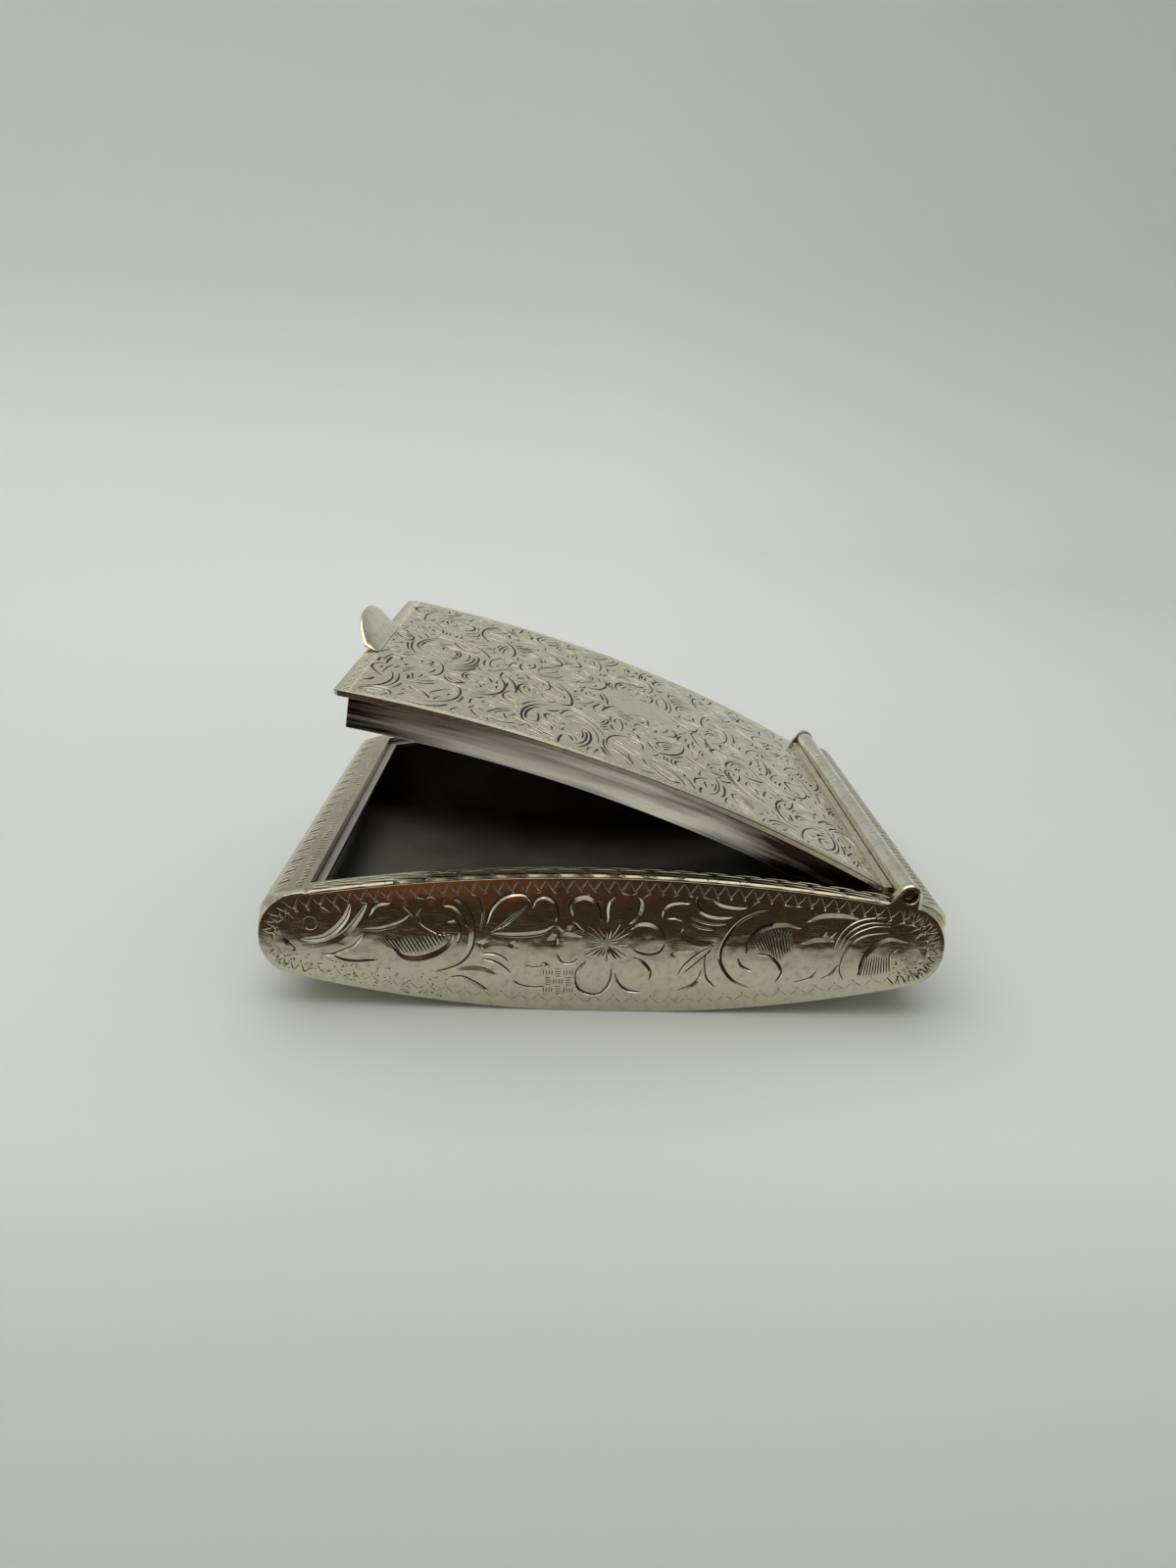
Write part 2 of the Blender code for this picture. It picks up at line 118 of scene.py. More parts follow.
EAR_FOOT_X = HINGE_X - EAR_FOOT_REACH

# Facets: along the runs of a section, round a corner, along an outline, how coarse the plain
# metal of a face and of a back may be, and along a stroke of the graver.
RUN_STEP = 0.25
TURN_STEP = math.radians(0.06)
CORNER_STEP = math.radians(6)
OUTLINE_STEP = 1.0
FACE_STEP = 1.5
BACK_STEP = 3.0
STROKE_STEP = 0.55

# A worn edge of sheet, from its face round to its back, as pairs of inset and depth.
WORN_EDGE = ((0.10, 0.0), (0.03, 0.03), (0.0, 0.10), (0.0, SHEET - 0.08), (0.08, SHEET))
SIDE_RIM_EDGE = ((0.07, 0.0), (0.02, 0.02), (0.0, 0.06), (0.0, 0.06), (0.70, SHEET))
LID_EDGE = (
    (0.12, 0.0),
    (0.035, 0.035),
    (0.0, 0.12),
    (0.0, 0.34),
    (0.10, 0.38),
    (0.10, 0.69),
    (0.16, 0.75),
)
PANEL_WEAR = 0.15

# The graver: how deep a cut is for its width, the deepest it goes, the depth at which it is full
# of dirt, and how near to the plate's edge it may come.
CUT_SLOPE = 0.42
DEEPEST_CUT = 0.14
DEEPEST_PANEL_CUT = 0.24
DIRT_DEPTH = 0.03
CUT_MARGIN = 0.04

# What counts as nothing: a difference under ROUNDING, and TINY as the least to divide by.
ROUNDING = 1e-6
TINY = 1e-9


# Sections of the case.


def between(start, end, step):
    """Evenly spaced values from start to end, both included, about a step apart."""
    count = max(1, math.ceil(abs(end - start) / step - ROUNDING))
    return [start + (end - start) * place / count for place in range(count + 1)]


def shoulder_centre(radius):
    x = HALF_LENGTH - radius
    return x, TOP_CENTRE_Z + math.sqrt((TOP_RADIUS - radius) ** 2 - x**2)


def shoulder_turn(radius):
    """Outward angle at which the top arc runs into the shoulder arc, at the hinge end."""
    x, z = shoulder_centre(radius)
    return math.atan2(z - TOP_CENTRE_Z, x)


def at_turn(angle, radius, inset=0.0):
    """The place on the case's outline that faces out at an angle from +X towards +Z.

    A level angle lies on the shoulder's arc, and one that is the least bit lower on the heel's.
    """
    side = 1.0 if math.cos(angle) >= 0 else -1.0
    turn = math.atan2(math.sin(angle), abs(math.cos(angle)))
    if turn > shoulder_turn(radius):
        x, z, reach = 0.0, TOP_CENTRE_Z, TOP_RADIUS - inset
    elif turn >= 0:
        (x, z), reach = shoulder_centre(radius), radius - inset
    elif turn > HEEL_TURN:
        x, z, reach = HEEL_X, HEEL_Z, HEEL_RADIUS - inset
    else:
        x, z, reach = 0.0, BOTTOM_CENTRE_Z, BOTTOM_RADIUS - inset
    return side * (x + reach * math.cos(turn)), z + reach * math.sin(turn)


class Section:
    """A line in X and Z that a sheet follows, with the way out of the metal all along it."""

    def __init__(self, *runs):
        places = np.array([place for run in runs for place in run])
        fresh = np.hypot(*np.diff(places[:, :2], axis=0).T) > ROUNDING
        places = places[np.concatenate([[True], fresh])]
        self.x, self.z = places[:, 0], places[:, 1]
        self.angle = np.unwrap(places[:, 2])
        steps = np.hypot(np.diff(self.x), np.diff(self.z))
        self.along = np.concatenate([[0.0], np.cumsum(steps)])
        self.length = self.along[-1]

    def bend(self, u, depth):
        """X and Z of the places at a distance along the line and a depth below it."""
        angle = np.interp(u, self.along, self.angle)
        x = np.interp(u, self.along, self.x) - depth * np.cos(angle)
        z = np.interp(u, self.along, self.z) - depth * np.sin(angle)
        return x, z

    def distance_at(self, x):
        """How far along the line it first comes nearest to this X."""
        return self.along[np.abs(self.x - x).argmin()]


def turned_run(start, end, radius):
    """Places from one outward angle to another round the case's outline."""
    return [(*at_turn(angle, radius), angle) for angle in between(start, end, TURN_STEP)]


def upright_run(x, start_z, end_z, angle):
    return [(x, z, angle) for z in between(start_z, end_z, RUN_STEP)]


def outline_run(radius):
    """Places round the lower half of the case, with the flat land that it stands on."""
    falling = turned_run(-TINY, FOOT_TURN, radius)
    foot = [(x, 0.0, -math.pi / 2) for x in between(FOOT_HALF, -FOOT_HALF, RUN_STEP)]
    rising = turned_run(-math.pi - FOOT_TURN, -math.pi, radius)
    return falling + foot + rising


def top_turn(x):
    return math.acos(x / TOP_RADIUS)


WRAP_TOP_Z = shoulder_centre(SHOULDER_RADIUS)[1] - 0.02
LID_LINE = Section(turned_run(top_turn(LID_X), top_turn(LID_END_X), SHOULDER_RADIUS))
THUMB_RIM_LINE = Section(turned_run(top_turn(OPENING_X), math.pi, SHOULDER_RADIUS))
HINGE_RIM_LINE = Section(turned_run(top_turn(HINGE_RIM_X), 0.0, SHOULDER_RADIUS))
SIDE_RIM_LINE = Section(turned_run(top_turn(-40.0), top_turn(36.8), SHOULDER_RADIUS))
WRAP_LINE = Section(
    upright_run(HALF_LENGTH, WRAP_TOP_Z, HEEL_Z, 0.0),
    outline_run(SHOULDER_RADIUS),
    upright_run(-HALF_LENGTH, HEEL_Z, WRAP_TOP_Z, -math.pi),
)
PANEL_LINE = Section(
    turned_run(math.pi, 0.0, PANEL_SHOULDER_RADIUS),
    outline_run(PANEL_SHOULDER_RADIUS),
)


# Flat drawing: outlines and cuts.


def plate_outline(corners, worn):
    """Points round a plate from its corners, anticlockwise, and how each moves in with wear.

    worn says of the side that starts at each corner whether it is a free edge; a soldered seam
    is not worn.
    """
    points, inward = [], []
    ways = []
    for start, end in zip(corners, corners[1:] + corners[:1]):
        run = Vector(end) - Vector(start)
        ways.append(Vector((-run.y, run.x)).normalized())
    for at, start in enumerate(corners):
        end = corners[(at + 1) % len(corners)]
        here, before = ways[at] * worn[at], ways[at - 1] * worn[at - 1]
        corner = (here + before) / (1.0 + here.dot(before))
        steps = between(0.0, 1.0, OUTLINE_STEP / (Vector(end) - Vector(start)).length)[:-1]
        for share in steps:
            points.append(Vector(start).lerp(Vector(end), share))
            inward.append(corner if share == 0 else here)
    return np.array(points), np.array(inward)


def edge_rings(outline, inward, profile):
    return [(outline + inward * inset, np.full(len(outline), depth)) for inset, depth in profile]


def within(points, outline, margin=0.0):
    """Which flat points lie inside an outline and at least a margin away from it."""
    run = np.roll(outline, -1, axis=0) - outline
    x = points[:, :1] - outline[:, 0]
    y = points[:, 1:] - outline[:, 1]
    crossed = (y < 0) != (y - run[:, 1] < 0)
    slope = np.divide(run[:, 0], run[:, 1], out=np.zeros(len(run)), where=run[:, 1] != 0)
    inside = (crossed & (x < y * slope)).sum(axis=1) % 2 == 1
    share = np.clip((x * run[:, 0] + y * run[:, 1]) / (run**2).sum(axis=1), 0, 1)
    gap = np.hypot(x - share * run[:, 0], y - share * run[:, 1]).min(axis=1)
    return inside & (gap >= margin)


ROW_SHARE = 0.87


def face_grid(outline, step, margin):
    """Points in staggered rows that keep the triangles between cuts well shaped."""
    low, high = outline.min(axis=0), outline.max(axis=0)
    points = []
    for row, v in enumerate(between(low[1], high[1], step * ROW_SHARE)):
        for u in between(low[0], high[0], step):
            points.append((u + (row % 2) * step / 2, v))
    points = np.array(points)
    return points[within(points, outline, margin)]


def smooth_line(points, step):
    """A line through given points, smoothed the way a wrist turns."""
    points = [Vector(point) for point in points]
    ends = [2 * points[0] - points[1], *points, 2 * points[-1] - points[-2]]
    line = [points[0]]
    for before, start, end, after in zip(ends, ends[1:], ends[2:], ends[3:]):
        count = max(1, math.ceil((end - start).length / step))
        for place in range(1, count + 1):
            t = place / count
            bend = (2 * before - 5 * start + 4 * end - after) * t * t
            turn = (3 * start - before - 3 * end + after) * t**3
            line.append((2 * start + (end - before) * t + bend + turn) / 2)
    return np.array(line)


FEWEST_POINTS = 4


class Cut:
    """One stroke of the graver: its line, and how wide it opens to the left and to the right.

    It runs out to a point at both ends, and late above 1 puts its widest place near its end.
    """

    def __init__(self, points, left, right, late=1.0, step=STROKE_STEP, deepest=DEEPEST_CUT):
        self.line = smooth_line(points, step)
        if len(self.line) < FEWEST_POINTS:
            ends = np.linspace(0, len(self.line) - 1, FEWEST_POINTS)
            at = np.arange(len(self.line))
            self.line = np.stack([np.interp(ends, at, axis) for axis in self.line.T], axis=1)
        self.widths = (left, right)
        self.late = late
        self.deepest = deepest
        self.shape()

    def shape(self):
        run = np.gradient(self.line, axis=0)
        run /= np.maximum(np.hypot(run[:, 0], run[:, 1]), TINY)[:, None]
        way = np.stack([-run[:, 1], run[:, 0]], axis=1)
        steps = np.hypot(*np.diff(self.line, axis=0).T)
        share = np.concatenate([[0.0], np.cumsum(steps)]) / max(steps.sum(), TINY)
        share = share**self.late
        swell = np.maximum(4 * share * (1 - share), 0.0) ** 0.5
        self.left = self.widths[0] * swell
        self.right = self.widths[1] * swell
        self.depth = np.minimum(CUT_SLOPE * (self.left + self.right), self.deepest * swell)
        self.left_line = self.line + way * self.left[:, None]
        self.right_line = self.line - way * self.right[:, None]

    def kept(self, inside):
        """The longest stretch of the stroke that lies on the plate, or None."""
        best = (0, 0)
        start = None
        for place, good in enumerate([*inside, False]):
            if good and start is None:
                start = place
            if not good and start is not None:
                best = max(best, (place - start, -start))
                start = None
        if best[0] < FEWEST_POINTS:
            return None
        if best[0] < len(self.line):
            self.line = self.line[-best[1] : -best[1] + best[0]]
            self.shape()
        return self


def on_plate(cuts, outline):
    """The cuts, each cut short where it would leave the plate."""
    sides = [
        np.concatenate([getattr(cut, side) for cut in cuts])
        for side in ("line", "left_line", "right_line")
    ]
    inside = np.logical_and.reduce([within(side, outline, CUT_MARGIN) for side in sides])
    kept, start = [], 0
    for cut in cuts:
        end = start + len(cut.line)
        kept.append(cut.kept(inside[start:end]))
        start = end
    return [cut for cut in kept if cut]


def cut_drawing(cuts, first):
    """Points and joined pairs that draw every cut's middle line and both of its edges."""
    points, pairs = [], []
    for cut in cuts:
        count = len(cut.line)
        middle = list(range(first + len(points), first + len(points) + count))
        points += cut.line.tolist()
        pairs += zip(middle, middle[1:])
        for side in (cut.left_line, cut.right_line):
            start = first + len(points)
            edge = [middle[0], *range(start, start + count - 2), middle[-1]]
            points += side[1:-1].tolist()
            pairs += zip(edge, edge[1:])
    return points, pairs


SEARCH_CELL = 2.0


def segments_by_cell(starts, runs, reach):
    """Which segments of cuts come near each square of a grid laid over the plate."""
    ends = starts + runs
    low = np.floor((np.minimum(starts, ends) - reach[:, None]) / SEARCH_CELL).astype(int)
    high = np.floor((np.maximum(starts, ends) + reach[:, None]) / SEARCH_CELL).astype(int)
    cells = {}
    for at, ((low_u, low_v), (high_u, high_v)) in enumerate(zip(low.tolist(), high.tolist())):
        for u in range(low_u, high_u + 1):
            for v in range(low_v, high_v + 1):
                cells.setdefault((u, v), []).append(at)
    return cells


# A point on a cut's edge still counts as in the cut, whose middle line lies a little flat.
EDGE_SHARE = 1.02
FLAT_SHARE = 1.04
NO_DIRT = -9.0


def cut_depths(points, cuts, stain_width):
    """Depth below the plate's face at each point, and how much dirt lies there.

    The dirt is 1 on a cut's middle line and falls below 0 where a wide cut stays clean.
    """
    depth, stain = np.zeros(len(points)), np.zeros(len(points))
    starts = np.concatenate([cut.line[:-1] for cut in cuts])
    runs = np.concatenate([np.diff(cut.line, axis=0) for cut in cuts])
    ends = {}
    for name in ("left", "right", "depth"):
        sizes = [getattr(cut, name) for cut in cuts]
        ends[name] = np.concatenate([np.stack([size[:-1], size[1:]], axis=1) for size in sizes])
    reach = np.maximum(ends["left"].max(axis=1), ends["right"].max(axis=1)) + 0.05
    cells = segments_by_cell(starts, runs, reach)
    where = np.floor(points / SEARCH_CELL).astype(int)
    order = np.lexsort((where[:, 1], where[:, 0]))
    breaks = np.flatnonzero(np.any(np.diff(where[order], axis=0) != 0, axis=1)) + 1
    for group in np.split(order, breaks):
        near = cells.get(tuple(where[group[0]].tolist()))
        if not near:
            continue
        run = runs[near]
        off = points[group][:, None] - starts[near]
        share = np.clip((off * run).sum(axis=2) / np.maximum((run**2).sum(axis=1), TINY), 0, 1)
        off -= share[..., None] * run
        gap = np.hypot(off[..., 0], off[..., 1])
        on_left = run[:, 0] * off[..., 1] - run[:, 1] * off[..., 0] > 0
        wide = {}
        for name, pair in ends.items():
            wide[name] = pair[near, 0] * (1 - share) + pair[near, 1] * share
        width = np.maximum(np.where(on_left, wide["left"], wide["right"]), ROUNDING)
        inside = gap < width * EDGE_SHARE
        fall = np.clip(FLAT_SHARE * (1 - gap / width), 0, 1)
        depth[group] = np.where(inside, wide["depth"] * fall, 0).max(axis=1)
        full = np.clip(wide["depth"] / DIRT_DEPTH, 0, 1)
        dirt = (1 - gap / np.minimum(width, stain_width)) * full
        dirt = np.where(inside, dirt, NO_DIRT).max(axis=1)
        stain[group] = np.where(inside.any(axis=1), dirt, 0.0)
    return depth, stain


# Engraved sheets as closed solids.


INSIDE_ONLY = 1
SAME_PLACE = 1e-4


def triangulated(points, pairs, outline_count):
    """Triangles inside the outline, which comes first in the points, kept to every joined pair."""
    flat = [Vector(point) for point in points]
    border = [list(range(outline_count))]
    made = delaunay_2d_cdt(flat, pairs, border, INSIDE_ONLY, SAME_PLACE, True)
    places, edges, faces, from_points, from_edges, _ = made
    new_place = {old: new for new, olds in enumerate(from_points) for old in olds}
    crisp = [tuple(edge) for edge, olds in zip(edges, from_edges) if olds]
    rim = [new_place[old] for old in range(outline_count)]
    flat = np.array([tuple(place) for place in places])
    on_rim = np.isin(faces, rim).all(axis=1)
    middles = flat[np.array(faces)[on_rim]].mean(axis=1)
    outside = set(np.flatnonzero(on_rim)[~within(middles, flat[rim])].tolist())
    faces = [tuple(face) for at, face in enumerate(faces) if at not in outside]
    return flat, faces, crisp, rim


def flat_face(outline, hole, cuts, step, margin):
    """One face of a plate, in triangles that keep to its rim, its hole and its cuts.

    It gives the points, faces and crisp edges, and which points lie round the rim and the hole.
    """
    points, pairs = outline.tolist(), []
    if hole is not None:
        first = len(points)
        points += hole.tolist()
        pairs += [(first + at, first + (at + 1) % len(hole)) for at in range(len(hole))]
    drawn, joined = cut_drawing(cuts, len(points))
    points += drawn + face_grid(outline, step, margin).tolist()
    flat, faces, crisp, rim = triangulated(points, pairs + joined, len(outline))
    hole_rim = []
    if hole is not None:
        covered = within(flat[np.array(faces)].mean(axis=1), hole)
        faces = [face for face, gone in zip(faces, covered) if not gone]
        hole_rim = [int(np.hypot(*(flat - place).T).argmin()) for place in hole]
    return flat, faces, crisp, rim, hole_rim


FACE, EDGE, BACK = range(3)
FACE_MARGIN = 0.3
BACK_MARGIN_SHARE = 0.2


def engraved_sheet(
    node, materials, rings, bend, cuts, hole_rings=(), step=FACE_STEP, back_step=BACK_STEP, stain=0.3
):
    """A closed plate: its cut face, its worn edge ring by ring, and its plain back.

    rings and hole_rings run from the face's edge to the back's, each a flat outline and its
    depths. materials are for the face, the edge and the back. bend turns u, v and depth into X,
    Y and Z. stain is how far dirt reaches from the middle of a cut.
    """
    hole, back_hole = (hole_rings[0][0], hole_rings[-1][0]) if hole_rings else (None, None)
    cuts = on_plate(cuts, rings[0][0])
    if hole_rings:
        cuts = [cut for cut in cuts if not within(cut.line, hole).any()]
    flat, faces, crisp, rim, hole_rim = flat_face(rings[0][0], hole, cuts, step, FACE_MARGIN)
    back, back_faces, _, back_rim, back_hole_rim = flat_face(
        rings[-1][0], back_hole, [], back_step, back_step * BACK_MARGIN_SHARE
    )
    cut_depth, dirt = cut_depths(flat, cuts, stain)
    places, depths = [flat, back], [cut_depth, np.full(len(back), rings[-1][1].max())]
    kinds = [FACE] * len(faces) + [BACK] * len(back_faces)
    back_start, count = len(flat), len(flat) + len(back)
    faces += [tuple(back_start + at for at in reversed(face)) for face in back_faces]
    walls = ((rings, rim, back_rim, EDGE), (hole_rings, hole_rim, back_hole_rim, BACK))
    for steps, front_loop, back_loop, kind in walls:
        loops = [front_loop]
        for ring, ring_depth in steps[1:-1]:
            loops.append(list(range(count, count + len(ring))))
            places.append(ring)
            depths.append(ring_depth)
            count += len(ring)
        loops.append([back_start + at for at in back_loop])
        for near, far in zip(loops, loops[1:]):
            faces += band(near, far)
            kinds += [kind] * len(far)
        for loop in (loops[0], loops[-1]):
            crisp += zip(loop, loop[1:] + loop[:1])
    stained = np.zeros(count)
    stained[: len(dirt)] = dirt
    flat = np.concatenate(places)
    solid = bend(flat[:, 0], flat[:, 1], np.concatenate(depths))
    mesh = bpy.data.meshes.new(node + "_worn")
    mesh.from_pydata((solid * MM).tolist(), [], faces)
    for material in materials:
        mesh.materials.append(material)
    mesh.polygons.foreach_set("material_index", kinds)
    mesh.attributes.new("cut", "FLOAT", "POINT").data.foreach_set("value", stained)
    mark_crisp(mesh, crisp)
    close(mesh)
    return mesh


def band(near, far):
    return [(near[at - 1], near[at], far[at], far[at - 1]) for at in range(len(near))]


def mark_crisp(mesh, pairs):
    """Marks the edges that keep their corner when the rest is shaded smooth."""
    size = len(mesh.vertices)
    ends = np.empty(2 * len(mesh.edges), int)
    mesh.edges.foreach_get("vertices", ends)
    ends = np.sort(ends.reshape(-1, 2), axis=1)
    wanted = np.sort(np.array(pairs), axis=1)
    sharp = np.isin(ends[:, 0] * size + ends[:, 1], wanted[:, 0] * size + wanted[:, 1])
    marks = mesh.attributes.new("sharp_edge", "BOOLEAN", "EDGE")
    marks.data.foreach_set("value", sharp)


SEAM_WELD = 0.002


def close(mesh):
    """Joins points that lie together, as along a soldered seam, and turns every face outward."""
    shape = bmesh.new()
    shape.from_mesh(mesh)
    bmesh.ops.remove_doubles(shape, verts=shape.verts, dist=SEAM_WELD * MM)
    bmesh.ops.recalc_face_normals(shape, faces=shape.faces)
    shape.to_mesh(mesh)
    shape.free()


# Patterns.


# How much wider than drawn here the panels' strokes are cut.
PANEL_CUT_SHARE = 1.3
